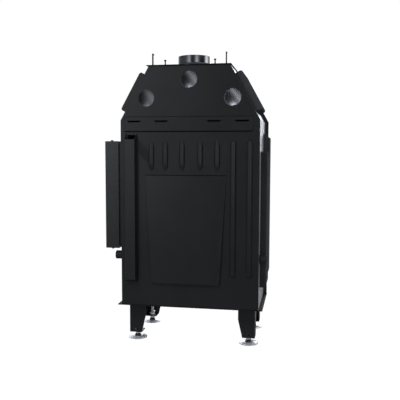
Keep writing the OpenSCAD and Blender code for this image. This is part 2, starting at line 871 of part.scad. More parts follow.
module firebox_shell() color(dark_paint) place() {
    difference() {
        block(fire_x0, fire_x1, front_y, fire_y1, fire_z0, fire_z1);
        block(in_x0, in_x1, front_y - over, in_y1, in_z0, in_z1);
        block(in_x1 - over, fire_x1 + over, window_y0, window_y1, window_z0, window_z1);
        block(fire_x - grate_w / 2 + grate_ledge, fire_x + grate_w / 2 - grate_ledge,
            grate_y0 + grate_ledge, grate_y1 - grate_ledge, fire_z0 - over, in_z0 + over);
        block(-dome_mouth_w / 2, dome_mouth_w / 2, -2 * flue_back + dome_back + dome_t,
            in_y1 - over, in_z1 - over, fire_z1 + over);
    }
    for (x = [in_x0, in_x1 - rail_w]) block(x, x + rail_w, brick_front, in_y1 - upper_baffle_gap,
        brick_z + baffle_t + baffle_rise - rail_h, brick_z + baffle_t + baffle_rise);
}

// Half width of the smoke dome at a height, measured inside a wall of the given thickness
function dome_half(z, wall) = let(run = (dome_foot_w - dome_top_w) / 2, rise = dome_top_z - fire_z1)
    dome_top_w / 2 + (dome_top_z - z) * run / rise - wall * norm([run, rise]) / rise;

module dome_outline(wall) {
    low = fire_z1 + wall;
    high = dome_top_z - wall;
    polygon([[-dome_half(low, wall), low], [dome_half(low, wall), low],
        [dome_half(high, wall), high], [-dome_half(high, wall), high]]);
}

module smoke_dome() color(dark_paint) place() {
    y1 = -dome_back;
    y0 = -2 * flue_back + dome_back;
    difference() {
        along_y(y0, y1) dome_outline(0);
        along_y(y0 + dome_t, y1 - dome_t) dome_outline(dome_t);
        block(-dome_mouth_w / 2, dome_mouth_w / 2, y0 + dome_t, in_y1 - over,
            fire_z1 - over, fire_z1 + dome_t + over);
        translate([0, -flue_back, dome_top_z - dome_t - over])
            cylinder(d = flue_d, h = dome_t + 2 * over);
    }
}

module rear_bricks() color(fireclay) place() {
    block(in_x0, fire_x - seat_gap, brick_y, in_y1, in_z0, brick_z);
    block(fire_x + seat_gap, in_x1, brick_y, in_y1, in_z0, brick_z);
}

module side_brick() color(fireclay) place()
    block(in_x0, brick_x, brick_front, brick_y - seat_gap, in_z0, brick_z);

module sill_brick() color(fireclay) place()
    block(in_x1 - brick_t, in_x1, brick_front, brick_y - seat_gap, in_z0 + floor_t,
        in_z0 + floor_t + sill_z);

module floor_bricks() color(fireclay) place() {
    gx0 = fire_x - grate_w / 2 - 2 * seat_gap;
    gx1 = fire_x + grate_w / 2 + 2 * seat_gap;
    z1 = in_z0 + floor_t;
    block(brick_x + seat_gap, gx0, brick_front, brick_y - seat_gap, in_z0, z1);
    block(gx1, in_x1, brick_front, brick_y - seat_gap, in_z0, z1);
    block(gx0 + seat_gap, gx1 - seat_gap, brick_front, grate_y0 - seat_gap, in_z0, z1);
    block(gx0 + seat_gap, gx1 - seat_gap, grate_y1 + seat_gap, brick_y - seat_gap, in_z0, z1);
}

module grate() color(cast_iron) place() difference() {
    block(fire_x - grate_w / 2, fire_x + grate_w / 2, grate_y0, grate_y1, in_z0, in_z0 + grate_t);
    step = (grate_w - 2 * grate_rim) / grate_slots;
    for (i = [0:grate_slots - 1])
        translate([fire_x - grate_w / 2 + grate_rim + step * (i + 0.5), 0, 0])
            block(-grate_slot_w / 2, grate_slot_w / 2, grate_y0 + grate_rim,
                grate_y1 - grate_rim, in_z0 - over, in_z0 + grate_t + over);
}

module lower_baffle() color(vermiculite) place()
    block(in_x0 + seat_gap, in_x1 - seat_gap, brick_front + lower_baffle_gap, in_y1 - seat_gap,
        brick_z, brick_z + baffle_t);

module upper_baffle() color(raw_steel) place()
    block(in_x0 + seat_gap, in_x1 - seat_gap, brick_front, in_y1 - upper_baffle_gap,
        brick_z + baffle_t + baffle_rise, brick_z + baffle_t + baffle_rise + upper_baffle_t);

module log_guard() color(cast_iron) place() {
    y = brick_front + guard_back;
    z0 = in_z0 + floor_t;
    rod_x(y, z0 + guard_rise, fire_x - guard_l / 2, fire_x + guard_l / 2, guard_d);
    for (x = [-guard_post_x, guard_post_x])
        translate([fire_x + x, y, z0]) cylinder(d = guard_d, h = guard_rise);
}

module ash_chamber() color(dark_paint) place() difference() {
    block(fire_x - ash_w / 2 - ash_t, fire_x + ash_w / 2 + ash_t, front_y, front_y + ash_d,
        ash_z - ash_t, fire_z0);
    block(fire_x - ash_w / 2, fire_x + ash_w / 2, front_y - over, front_y + ash_d - ash_t,
        ash_z, fire_z0 + over);
}

module ash_pan() color(dark_paint) place() {
    x0 = fire_x - ash_w / 2 + pan_gap;
    x1 = fire_x + ash_w / 2 - pan_gap;
    y1 = front_y + ash_d - ash_t - pan_gap;
    z0 = ash_z + clear;
    z1 = z0 + pan_h;
    back = face_y - clear;
    front = back - pan_front_t;
    difference() {
        block(x0, x1, back, y1, z0, z1);
        block(x0 + pan_t, x1 - pan_t, back + pan_t, y1 - pan_t, z0 + pan_t, z1 + over);
    }
    along_y(front, back) rounded_rect(x0 - pan_front_lap, x1 + pan_front_lap,
        ash_z - pan_front_lap, ash_z + ash_h + pan_front_lap, pan_gap);
    zm = ash_z + ash_h / 2;
    for (x = [-pan_pull_w / 2, pan_pull_w / 2])
        rod_y(fire_x + x, zm, front - pan_pull_out, front, pan_pull_d);
    rod_x(front - pan_pull_out, zm, fire_x - pan_pull_w / 2 - pan_pull_d,
        fire_x + pan_pull_w / 2 + pan_pull_d, pan_bar_d);
}

module air_box() color(dark_paint) place() difference() {
    block(fire_x - air_w / 2, fire_x + air_w / 2, front_y, front_y + air_d, casing_z,
        casing_z + air_h);
    block(fire_x - air_w / 2 + thin, fire_x + air_w / 2 - thin, front_y - over,
        front_y + air_d - thin, casing_z - over, casing_z + air_h - thin);
}

module air_spigot() color(zinc) place() translate([fire_x, front_y + intake_front, 0])
    rotate_extrude() polygon([[intake_d / 2 - intake_wall, base_z - intake_out],
        [intake_d / 2, base_z - intake_out],
        [intake_d / 2, base_z - intake_bead_t - intake_bead],
        [intake_d / 2 + intake_bead, base_z - intake_bead_t],
        [intake_d / 2 + intake_bead, base_z], [intake_d / 2, base_z],
        [intake_d / 2, casing_z],
        [intake_d / 2 + intake_flange, casing_z],
        [intake_d / 2 + intake_flange, casing_z + intake_wall],
        [intake_d / 2 - intake_wall, casing_z + intake_wall]]);

module air_slider() color(zinc) place() {
    y1 = plate_y - clear;
    difference() {
        block(fire_x - slider_w / 2, fire_x + slider_w / 2, y1 - slider_t, y1,
            port_z - slider_h / 2, port_z + slider_h / 2);
        for (i = [-1:1]) translate([fire_x + i * port_step, 0, port_z])
            block(-port_w / 2, port_w / 2, y1 - slider_t - over, y1 + over,
                -air_port_h / 2, air_port_h / 2);
    }
    rod_y(fire_x + stem_x, port_z, face_y - stem_out, y1 - slider_t, stem_d);
}

module air_knob() color(dark_paint) place()
    rod_y(fire_x + stem_x, port_z, face_y - stem_out - knob_l, face_y - stem_out, knob_d);

module front_frame_face() difference() {
    translate([frame_x0, base_z]) square([frame_x1 - frame_x0, frame_z1 - base_z]);
    translate([open_x0, open_z0]) square([open_x1 - open_x0, open_z1 - open_z0]);
    translate([fire_x - ash_w / 2, ash_z]) square([ash_w, ash_h]);
    translate([fire_x + stem_x - stem_d / 2 - stem_slot_gap, port_z - stem_d / 2 - stem_slot_gap])
        square([stem_d + 2 * stem_slot_gap + air_travel, stem_d + 2 * stem_slot_gap]);
}

// Welded box frame: a face, outer returns and a throat round the door opening
module front_frame() color(paint) place() {
    skin_y = face_y + sheet;
    along_y(face_y, skin_y) front_frame_face();
    along_y(skin_y, plate_y) difference() {
        translate([frame_x0, base_z]) square([frame_x1 - frame_x0, frame_z1 - base_z]);
        translate([frame_x0 + sheet, base_z + base_t])
            square([frame_x1 - frame_x0 - 2 * sheet, frame_z1 - base_z - base_t - sheet]);
    }
    along_y(skin_y, plate_y) difference() {
        translate([mouth_x0 - sheet, mouth_z0 - sheet])
            square([mouth_x1 - mouth_x0 + 2 * sheet, mouth_z1 - mouth_z0 + 2 * sheet]);
        translate([mouth_x0, mouth_z0]) square([mouth_x1 - mouth_x0, mouth_z1 - mouth_z0]);
    }
    block(half_w + flange / 2, frame_x1 - sheet, plate_y - sheet, plate_y, base_z + base_t,
        frame_z1 - sheet);
}

// Deep folded frame of the glazed side, with a seat for its pane
module side_frame() color(paint) place() difference() {
    union() {
        block(half_w + neck, side_face_x, plate_y, side_y1, side_z0, side_z1);
        block(half_w, half_w + neck, front_y, side_y1 - neck_recess,
            side_z0 + neck_recess, side_z1 - neck_recess);
    }
    block(half_w - over, side_face_x + over, window_y0, window_y1, window_z0, window_z1);
    difference() {
        block(half_w + neck + sheet, side_face_x - pane_t - sheet, plate_y - over,
            side_y1 - sheet, side_z0 + sheet, side_z1 - sheet);
        block(half_w, side_face_x, window_y0 - sheet, window_y1 + sheet, window_z0 - sheet,
            window_z1 + sheet);
    }
    block(side_face_x - pane_t, side_face_x + over, window_y0 - pane_lap, window_y1 + pane_lap,
        window_z0 - pane_lap, window_z1 + pane_lap);
    block(half_w - over, half_w + flange + clear, plate_y - over, front_y, side_z0 - over,
        side_z1 + over);
}

module side_glass() color(ceramic_glass) place()
    block(side_face_x - pane_t, side_face_x, window_y0 - pane_lap + seat_gap,
        window_y1 + pane_lap - seat_gap, window_z0 - pane_lap + clear,
        window_z1 + pane_lap - seat_gap);

module side_glass_trim() color(dark_paint) place() difference() {
    block(side_face_x, side_face_x + thin, plate_y + seat_gap, side_y1 - seat_gap,
        side_z0 + seat_gap, side_z1 - seat_gap);
    block(side_face_x - over, side_face_x + thin + over, window_y0, window_y1, window_z0,
        window_z1);
}

module side_frame_bolts() color(dark_paint) place()
    for (y = [side_y1 - side_bolt_back, front_y + side_bolt_back], end = [0, 1])
        translate([side_bolt_x, y, end > 0 ? side_z1 : side_z0 - side_bolt_h])
            cylinder(d = side_bolt_w, h = side_bolt_h, $fn = hex);

module ring_outline(x0, x1, z0, z1, bar) difference() {
    translate([x0, z0]) square([x1 - x0, z1 - z0]);
    translate([x0 + bar, z0 + bar]) square([x1 - x0 - 2 * bar, z1 - z0 - 2 * bar]);
}

// Barrel of the hinge between the brackets, with an arm to the door's edge
module door_lug(z) difference() {
    union() {
        translate([hinge_x, hinge_y, z - lug_h / 2]) cylinder(r = lug_r, h = lug_h);
        block(hinge_x, door_x0 + over, hinge_y - leaf_t / 2, hinge_y + leaf_t / 2,
            z - lug_h / 2, z + lug_h / 2);
    }
    translate([hinge_x, hinge_y, z - lug_h]) cylinder(r = pin_d / 2 + run_fit, h = 2 * lug_h);
}

module door_frame() color(paint) place() difference() {
    union() {
        along_y(door_face, door_back) ring_outline(door_x0, door_x1, door_z0, door_z1, door_bar);
        for (z = hinge_z) door_lug(z);
    }
    block(door_x0 + door_bar - rebate, door_x1 - door_bar + rebate, door_face + glass_lip,
        door_back + over, door_z0 + door_bar - rebate, door_z1 - door_bar + rebate);
    along_y(door_back - groove_depth, door_back + over) difference() {
        rope_area(rope_groove / 2);
        rope_area(-rope_groove / 2);
    }
    rod_y(spindle_x, spindle_z, door_face - over, door_back + over, spindle_d + 2 * run_fit);
}

module rope_area(grow) rounded_rect(door_x0 + rope_inset - grow, door_x1 - rope_inset + grow,
    door_z0 + rope_inset - grow, door_z1 - rope_inset + grow, rope_corner + grow);

// Rope seal: straight runs with quarter turns at the corners
module door_seal() color(rope_grey) place()
    translate([0, door_back - groove_depth + rope_d / 2, 0]) {
        x0 = door_x0 + rope_inset;
        x1 = door_x1 - rope_inset;
        z0 = door_z0 + rope_inset;
        z1 = door_z1 - rope_inset;
        for (z = [z0, z1]) rod_x(0, z, x0 + rope_corner, x1 - rope_corner, rope_d);
        for (x = [x0, x1]) translate([x, 0, z0 + rope_corner])
            cylinder(d = rope_d, h = z1 - z0 - 2 * rope_corner);
        for (turn = [[x1, z1, 0], [x0, z1, 90], [x0, z0, 180], [x1, z0, 270]])
            translate([turn[0] + (turn[0] > x0 ? -1 : 1) * rope_corner, 0,
                turn[1] + (turn[1] > z0 ? -1 : 1) * rope_corner])
                rotate([90, 0, 0]) rotate([0, 0, turn[2]])
                    rotate_extrude(angle = 90) translate([rope_corner, 0]) circle(d = rope_d);
    }

module door_glass() color(ceramic_glass) place()
    block(door_x0 + door_bar - rebate + seat_gap, door_x1 - door_bar + rebate - seat_gap,
        door_face + glass_lip, door_face + glass_lip + glass_t,
        door_z0 + door_bar - rebate + clear, door_z1 - door_bar + rebate - seat_gap);

// Clips that hold the pane in its rebate from behind
module glass_clips() color(zinc) place() {
    y0 = door_face + glass_lip + glass_t;
    ix0 = door_x0 + door_bar - rebate;
    ix1 = door_x1 - door_bar + rebate;
    iz0 = door_z0 + door_bar - rebate;
    iz1 = door_z1 - door_bar + rebate;
    for (share = clip_share) {
        x = ix0 + share * (ix1 - ix0);
        z = iz0 + share * (iz1 - iz0);
        block(x - clip_w / 2, x + clip_w / 2, y0, y0 + clip_t, iz0, iz0 + clip_h);
        block(x - clip_w / 2, x + clip_w / 2, y0, y0 + clip_t, iz1 - clip_h, iz1);
        block(ix0, ix0 + clip_h, y0, y0 + clip_t, z - clip_w / 2, z + clip_w / 2);
        block(ix1 - clip_h, ix1, y0, y0 + clip_t, z - clip_w / 2, z + clip_w / 2);
    }
}

module hinge_lug(z) difference() {
    union() {
        translate([hinge_x, hinge_y, z]) cylinder(r = lug_r, h = lug_h);
        block(hinge_x - leaf_t / 2, hinge_x + leaf_t / 2, hinge_y, face_y, z, z + lug_h);
    }
    translate([hinge_x, hinge_y, z - over]) cylinder(d = pin_d, h = lug_h + 2 * over);
}

// Bracket on the front frame: a leaf with a lug above and below the door's barrel
module hinge_brackets() color(dark_paint) place() for (z = hinge_z) {
    hinge_lug(z + lug_h / 2 + clear);
    hinge_lug(z - stack_h / 2);
    block(hinge_x - leaf_w / 2, hinge_x + leaf_w / 2 - leaf_t, face_y - leaf_t / 2, face_y,
        z - stack_h / 2, z + stack_h / 2);
}

module hinge_pins() color(zinc) place() for (z = hinge_z) translate([hinge_x, hinge_y, 0]) {
    translate([0, 0, z - stack_h / 2]) cylinder(d = pin_d, h = stack_h);
    translate([0, 0, z + stack_h / 2]) cylinder(d = pin_head_d, h = pin_head_h);
}

module handle_lever() color(bright_steel) place() {
    y1 = door_face - clear;
    difference() {
        union() {
            rod_y(spindle_x, spindle_z, y1 - hub_t, y1, hub_d);
            block(spindle_x - lever_w / 2, spindle_x + lever_w / 2, y1 - hub_t,
                y1 - hub_t + lever_t, spindle_z - lever_l, spindle_z);
        }
        rod_y(spindle_x, spindle_z, y1 - hub_t + lever_t, y1 + over, spindle_d);
    }
}

module handle_grip() color(dark_paint) place()
    translate([spindle_x, door_face - clear - hub_t + lever_t / 2,
        spindle_z - lever_l - grip_l]) cylinder(d = grip_d, h = grip_l);

// Cam on the spindle; it points up when the door is unlatched
module latch_spindle() color(zinc) place() {
    cam_y = face_y + sheet + cam_gap;
    rod_y(spindle_x, spindle_z, door_face - clear - hub_t + lever_t, cam_y + cam_t, spindle_d);
    block(spindle_x - cam_w / 2, spindle_x + cam_w / 2, cam_y, cam_y + cam_t,
        spindle_z, spindle_z + cam_reach);
    rod_y(spindle_x, spindle_z, cam_y, cam_y + cam_t, cam_w);
}

back_panel();
casing_wall_left();
casing_wall_right();
hood_side_left();
hood_side_right();
top_plate();
front_plate();
base_plate();
louvre_band();
rear_cover_plate();
cover_screws();
back_air_duct();
side_air_duct();
side_shield();
hood_box_left();
hood_box_right();
lifting_hooks();
top_studs();
flue_collar();
outlet_plugs();
cross_tube();
leg_rear_left();
leg_rear_right();
leg_front_left();
leg_front_right();
foot_rear_left();
foot_rear_right();
foot_front_left();
foot_front_right();
leg_nuts();
firebox_shell();
smoke_dome();
rear_bricks();
side_brick();
sill_brick();
floor_bricks();
grate();
lower_baffle();
upper_baffle();
log_guard();
ash_chamber();
ash_pan();
air_box();
air_spigot();
air_slider();
air_knob();
front_frame();
side_frame();
side_glass();
side_glass_trim();
side_frame_bolts();
door_frame();
door_glass();
glass_clips();
door_seal();
hinge_brackets();
hinge_pins();
handle_lever();
handle_grip();
latch_spindle();
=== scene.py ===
# %% [markdown]
# # Dressing a fireplace insert
# The construction of this insert is already modelled: every sheet, brick, hinge and foot has its
# real size and place. This lesson gives each of them the surface that the real one has. It remodels
# the pieces whose look is in small forms, such as spun plugs, threads and the rope seal. The
# photograph shows the insert from behind, so the back, the hood and the feet matter most.

# %% Load the model
import json
import math

import bmesh
import bpy
from mathutils import Matrix, Quaternion, Vector


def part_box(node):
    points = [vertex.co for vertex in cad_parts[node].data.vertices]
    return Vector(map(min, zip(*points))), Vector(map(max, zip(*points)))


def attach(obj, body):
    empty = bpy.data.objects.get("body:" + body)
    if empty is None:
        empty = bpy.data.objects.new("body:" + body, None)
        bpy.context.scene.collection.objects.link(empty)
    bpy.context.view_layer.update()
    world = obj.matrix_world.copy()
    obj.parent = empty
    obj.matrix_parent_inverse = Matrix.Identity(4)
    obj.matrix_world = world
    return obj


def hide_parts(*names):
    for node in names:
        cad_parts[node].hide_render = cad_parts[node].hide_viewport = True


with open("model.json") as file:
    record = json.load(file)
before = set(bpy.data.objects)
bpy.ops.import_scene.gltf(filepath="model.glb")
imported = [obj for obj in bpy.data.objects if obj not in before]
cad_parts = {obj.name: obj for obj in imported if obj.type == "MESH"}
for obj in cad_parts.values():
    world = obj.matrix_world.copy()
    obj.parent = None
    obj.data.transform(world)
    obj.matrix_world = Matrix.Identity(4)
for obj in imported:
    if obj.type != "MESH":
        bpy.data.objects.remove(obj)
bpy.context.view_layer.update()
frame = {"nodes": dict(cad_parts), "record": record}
MM = 0.001

# %% [markdown]
# ## Where things are
# Distances on an insert are read from its casing. The middle of the two side walls gives the
# middle of the back, and the flat edge of the cover plate lies on the face of the back panel. A
# point can then be given in millimetres from the foot of that face, as on a workshop drawing.

# %% Measure from the back panel
MIDDLE_X = (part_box("casing_wall_left")[0].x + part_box("casing_wall_right")[1].x) / 2
PANEL_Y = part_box("rear_cover_plate")[0].y


def spot(x, y, z):
    """A point in millimetres from the foot of the back panel, as a point of the model."""
    return Vector((MIDDLE_X + x * MM, PANEL_Y + y * MM, z * MM))


def middle(node):
    """The middle of a node's box."""
    low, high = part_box(node)
    return (low + high) / 2


print("back panel at y", round(PANEL_Y, 4), "and x", round(MIDDLE_X, 4))

# %% [markdown]
# ## Shader maths as Python
# A finish is a small formula: a little noise makes the gloss uneven, a ring pattern makes a turned
# face. Nodes can be wired by hand, but a formula is easier to read. The class below wraps a socket,
# so that plus, minus and times on it add the Math nodes. Every other node comes from one method.

# %% A socket that can be calculated with
class Wire:
    """One output of a node, with Python's own operators."""

    def __init__(self, maker, socket):
        self.maker = maker
        self.socket = socket

    def __add__(self, other):
        return self.maker.math("ADD", self, other)

    def __radd__(self, other):
        return self.maker.math("ADD", other, self)

    def __sub__(self, other):
        return self.maker.math("SUBTRACT", self, other)

    def __rsub__(self, other):
        return self.maker.math("SUBTRACT", other, self)

    def __mul__(self, other):
        return self.maker.math("MULTIPLY", self, other)

    def __rmul__(self, other):
        return self.maker.math("MULTIPLY", other, self)

    def __truediv__(self, other):
        return self.maker.math("DIVIDE", self, other)

    def __rtruediv__(self, other):
        return self.maker.math("DIVIDE", other, self)


# %% One method that makes every node
class Maker:
    """Adds nodes to one tree."""

    def __init__(self, tree):
        self.tree = tree

    def plug(self, socket, value):
        if isinstance(value, Wire):
            self.tree.links.new(value.socket, socket)
        else:
            socket.default_value = value

    def node(self, kind, settings=None, sockets=None, out=0):
        node = self.tree.nodes.new(kind)
        for key, value in (settings or {}).items():
            if key == "stops":
                ramp = node.color_ramp.elements
                while len(ramp) < len(value):
                    ramp.new(0.5)
                for element, (position, colour) in zip(ramp, value):
                    element.position = position
                    element.color = colour
            else:
                setattr(node, key, value)
        for key, value in (sockets or {}).items():
            self.plug(node.inputs[key], value)
        return Wire(self, node.outputs[out])

    def math(self, operation, first, second=0.0, clamp=False):
        return self.node("ShaderNodeMath", {"operation": operation, "use_clamp": clamp},
                         {0: first, 1: second})

    def ramp(self, factor, *stops):
        return self.node("ShaderNodeValToRGB", {"stops": stops}, {"Fac": factor})

    def blend(self, factor, first, second):
        return self.node("ShaderNodeMix", {"data_type": "RGBA"}, {0: factor, 6: first, 7: second},
                         out=2)


# %% [markdown]
# ## A base for all finishes
# Each finish starts from Blender's Principled shader. The patterns read Object coordinates, which
# are metres here because every piece has its origin at the model's origin. A scale of 1000
# therefore makes features of about a millimetre, whatever the size of the piece.

# %% Start a finish
class Finish(Maker):
    """A material under construction."""

    def __init__(self, name, **constants):
        self.material = bpy.data.materials.new(name)
        self.material.use_nodes = True
        super().__init__(self.material.node_tree)
        self.shader = self.tree.nodes["Principled BSDF"]
        self.place = self.node("ShaderNodeTexCoord", out=3)
        for key, value in constants.items():
            self.set(key.replace("_", " "), value)

    def set(self, name, value):
        self.plug(self.shader.inputs[name], value)

    def noise(self, scale, detail=2.0, stretch=(1, 1, 1)):
        place = self.place
        if stretch != (1, 1, 1):
            place = self.node("ShaderNodeMapping", None, {"Vector": place, "Scale": stretch})
        return self.node("ShaderNodeTexNoise", None,
                         {"Vector": place, "Scale": scale, "Detail": detail})

    def cells(self, scale, out=0):
        return self.node("ShaderNodeTexVoronoi", None, {"Vector": self.place, "Scale": scale},
                         out=out)

    def bump(self, height, distance):
        self.set("Normal", self.node("ShaderNodeBump", None,
                                     {"Strength": 1.0, "Distance": distance, "Height": height}))


def grey(level):
    return (level, level, level, 1.0)


def cool(level):
    """A level of daylight, a little blue."""
    return (level * 0.96, level * 0.985, level * 1.045, 1.0)


# %% [markdown]
# ## Black heat-proof paint
# The outside is sprayed with silicone paint and baked. It is satin and almost black, with a very
# fine grain from the spray and slow waves where the sheet isn't quite flat. The waves are what
# makes a large panel look like real sheet metal, because they bend the soft reflections. A second,
# matt coat is for pieces that are hot or hidden, and has a grey level of its own: a lighter or
# darker level on some pieces is painted light or painted shade.

# %% Paint of the casing
def black_paint(name="black_paint", gloss=0.25, grip=0.34, **constants):
    finish = Finish(name, Specular_IOR_Level=grip, **constants)
    cloud = finish.noise(6, detail=3)
    grain = finish.noise(1400, detail=2)
    wave = finish.noise(3.2, detail=1)
    finish.set("Base Color", finish.ramp(cloud, (0.3, cool(0.012)), (0.7, cool(0.0145))))
    finish.set("Roughness", gloss + cloud * 0.07 + grain * 0.05)
    finish.bump(grain * 0.03 + wave, distance=0.0016)
    return finish.material


# %% Matt paint
def matt_paint(name="matt_paint", level=0.0175, grip=0.3):
    finish = Finish(name, Specular_IOR_Level=grip)
    cloud = finish.noise(14, detail=4)
    grain = finish.noise(1100, detail=3)
    finish.set("Base Color", finish.ramp(cloud, (0.3, cool(level * 0.88)),
                                         (0.7, cool(level * 1.12))))
    finish.set("Roughness", 0.52 + grain * 0.16)
    finish.bump(grain, distance=0.00006)
    return finish.material


# %% [markdown]
# ## Zinc
# Feet, nuts and pins are plated against rust. Zinc is bright but never a mirror: crystals of
# slightly different grey lie side by side, under a thin dull film. A Voronoi pattern gives each
# crystal its own shade and gloss, and a metallic value between 0 and 1 stands for the film.

# %% Zinc plating
def zinc_plate():
    finish = Finish("zinc_plate", Metallic=0.55)
    crystal = finish.cells(260, out=1)
    shade = finish.node("ShaderNodeSeparateColor", None, {"Color": crystal})
    haze = finish.noise(45, detail=4)
    finish.set("Base Color", finish.ramp(shade, (0.0, (0.72, 0.73, 0.76, 1)),
                                         (1.0, (0.86, 0.87, 0.90, 1))))
    finish.set("Roughness", 0.24 + shade * 0.08 + haze * 0.1)
    finish.bump(haze, distance=0.0001)
    return finish.material


# %% [markdown]
# ## Spun steel of the plugs
# The three blanking plugs are spun on a lathe, so their faces carry very fine rings of slightly
# different grey. The pattern needs the distance to the nearest plug's middle, so the smallest of
# three distances is taken. The steel is only half bright, so it softens what it mirrors.

# %% Spun steel
PLUG_PLACES = [(0, 1240), (-201, 1156.5), (201, 1156.5)]
RING_PITCH = 1.1 * MM


def turned_steel():
    finish = Finish("turned_steel", Metallic=1.0)
    radius = None
    for x, z in PLUG_PLACES:
        offset = finish.node("ShaderNodeVectorMath", {"operation": "SUBTRACT"},
                             {0: finish.place, 1: spot(x, 0, z)})
        flat = finish.node("ShaderNodeVectorMath", {"operation": "MULTIPLY"},
                           {0: offset, 1: (1, 0, 1)})
        away = finish.node("ShaderNodeVectorMath", {"operation": "LENGTH"}, {0: flat}, out=1)
        radius = away if radius is None else finish.math("MINIMUM", radius, away)
    rings = finish.math("SINE", radius * (2 * math.pi / RING_PITCH))
    lathe_marks = finish.node("ShaderNodeTexNoise", {"noise_dimensions": "1D"},
                              {"W": radius, "Scale": 900.0, "Detail": 3.0})
    finish.set("Base Color", finish.ramp(lathe_marks, (0.35, cool(0.062)), (0.65, cool(0.074))))
    finish.set("Roughness", 0.17 + lathe_marks * 0.04)
    finish.bump(rings, distance=0.000002)
    return finish.material


# %% [markdown]
# ## Rolled and burnished steel
# The flue collar is a rolled strip, burnished until its wall shows upright streaks. The streaks
# follow the angle round the collar and hardly change with height, so the noise is squeezed
# along Z. Bare steel inside keeps its mill scale, which is darker and patchy.

# %% Burnished collar
def burnished_steel():
    finish = Finish("burnished_steel", Metallic=1.0)
    streak = finish.noise(42, detail=3, stretch=(1, 1, 0.03))
    fine = finish.noise(420, detail=2, stretch=(1, 1, 0.02))
    finish.set("Base Color", finish.ramp(streak, (0.38, cool(0.155)), (0.62, cool(0.185))))
    finish.set("Roughness", 0.05 + fine * 0.04)
    finish.bump(fine, distance=0.00003)
    return finish.material


# %% Raw steel with its mill scale
def raw_steel():
    finish = Finish("raw_steel", Metallic=0.85)
    scale = finish.noise(18, detail=6)
    speck = finish.noise(400, detail=3)
    finish.set("Base Color", finish.ramp(scale, (0.35, (0.09, 0.1, 0.12, 1)),
                                         (0.65, (0.2, 0.195, 0.19, 1))))
    finish.set("Roughness", 0.42 + speck * 0.2)
    finish.bump(scale + speck * 0.4, distance=0.0001)
    return finish.material


# %% [markdown]
# ## Iron, clay and vermiculite
# A cast surface keeps the grain of the sand that it was poured in. Fireclay is pressed and dried,
# so it is matt, sandy and never one even colour. Vermiculite board is made of golden mica flakes,
# which Voronoi cells imitate well.

# %% Cast iron
def cast_iron():
    finish = Finish("cast_iron", Metallic=0.35)
    sand = finish.noise(700, detail=4)
    lump = finish.noise(90, detail=3)
    finish.set("Base Color", finish.ramp(sand, (0.3, grey(0.025)), (0.7, grey(0.06))))
    finish.set("Roughness", 0.55 + sand * 0.25)
    finish.bump(sand + lump, distance=0.0004)
    return finish.material


# %% Fireclay
def fireclay():
    finish = Finish("fireclay", Specular_IOR_Level=0.25)
    tone = finish.noise(9, detail=5)
    grit = finish.noise(650, detail=3)
    pores = finish.cells(420)
    body = finish.ramp(tone, (0.3, (0.50, 0.40, 0.28, 1)), (0.7, (0.66, 0.56, 0.42, 1)))
    speck = finish.ramp(grit, (0.34, (0.55, 0.5, 0.45, 1)), (0.44, grey(1.0)))
    finish.set("Base Color", finish.node("ShaderNodeMix", {"data_type": "RGBA",
                                                           "blend_type": "MULTIPLY"},
                                         {0: 1.0, 6: body, 7: speck}, out=2))
    finish.set("Roughness", 0.86 + grit * 0.1)
    finish.bump(grit + pores * 0.5, distance=0.0005)
    return finish.material


# %% Vermiculite board
def vermiculite():
    finish = Finish("vermiculite", Specular_IOR_Level=0.3)
    flake = finish.node("ShaderNodeSeparateColor", None, {"Color": finish.cells(330, out=1)})
    edge = finish.cells(330)
    finish.set("Base Color", finish.ramp(flake, (0.0, (0.34, 0.25, 0.13, 1)),
                                         (0.6, (0.52, 0.41, 0.24, 1)),
                                         (1.0, (0.72, 0.62, 0.42, 1))))
    finish.set("Roughness", 0.62 + flake * 0.3)
    finish.bump(flake - edge, distance=0.0008)
    return finish.material


# %% [markdown]
# ## Glass ceramic with a printed border
# Stove panes are glass ceramic, clear with a faint warm tint. Their edge is printed black so that
# the seal and the clips don't show. The border is a mask on the distance from the pane's middle,
# and a Mix Shader swaps the clear glass for the print.

# %% Glass ceramic
def glass_ceramic(name, node, across, border):
    """Clear inside, printed for the width of border; across is the pane's horizontal axis."""
    finish = Finish(name, Base_Color=(0.86, 0.84, 0.80, 1), Roughness=0.02, IOR=1.47,
                    Transmission_Weight=1.0)
    low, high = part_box(node)
    offset = finish.node("ShaderNodeVectorMath", {"operation": "SUBTRACT"},
                         {0: finish.place, 1: (low + high) / 2})
    distance = finish.node("ShaderNodeVectorMath", {"operation": "ABSOLUTE"}, {0: offset})
    parts = [finish.node("ShaderNodeSeparateXYZ", None, {0: distance}, out=axis)
             for axis in (across, 2)]
    half = [(high[axis] - low[axis]) / 2 - border for axis in (across, 2)]
    printed = finish.math("MAXIMUM", *[finish.math("GREATER_THAN", part, edge)
                                       for part, edge in zip(parts, half)])
    print_shader = finish.node("ShaderNodeBsdfPrincipled", None,
                               {"Base Color": grey(0.012), "Roughness": 0.16})
    mixed = finish.node("ShaderNodeMixShader", None,
                        {0: printed, 1: Wire(finish, finish.shader.outputs[0]), 2: print_shader})
    finish.tree.links.new(mixed.socket, finish.tree.nodes["Material Output"].inputs["Surface"])
    return finish.material


# %% [markdown]
# ## Rope and grip
# Glass fibre rope is grey and takes on soot in patches. The grip and the knob are black plastic
# with a fine grain, a little more worn in some places than in others.

# %% Glass rope and the black grip
def glass_rope():
    finish = Finish("glass_rope", Specular_IOR_Level=0.4, Sheen_Weight=0.25)
    thread = finish.noise(1600, detail=2, stretch=(1, 1, 0.35))
    soot = finish.noise(30, detail=3)
    finish.set("Base Color", finish.ramp(soot, (0.35, (0.24, 0.235, 0.23, 1)),
                                         (0.65, (0.42, 0.415, 0.40, 1))))
    finish.set("Roughness", 0.72 + thread * 0.2)
    finish.bump(thread, distance=0.0003)
    return finish.material


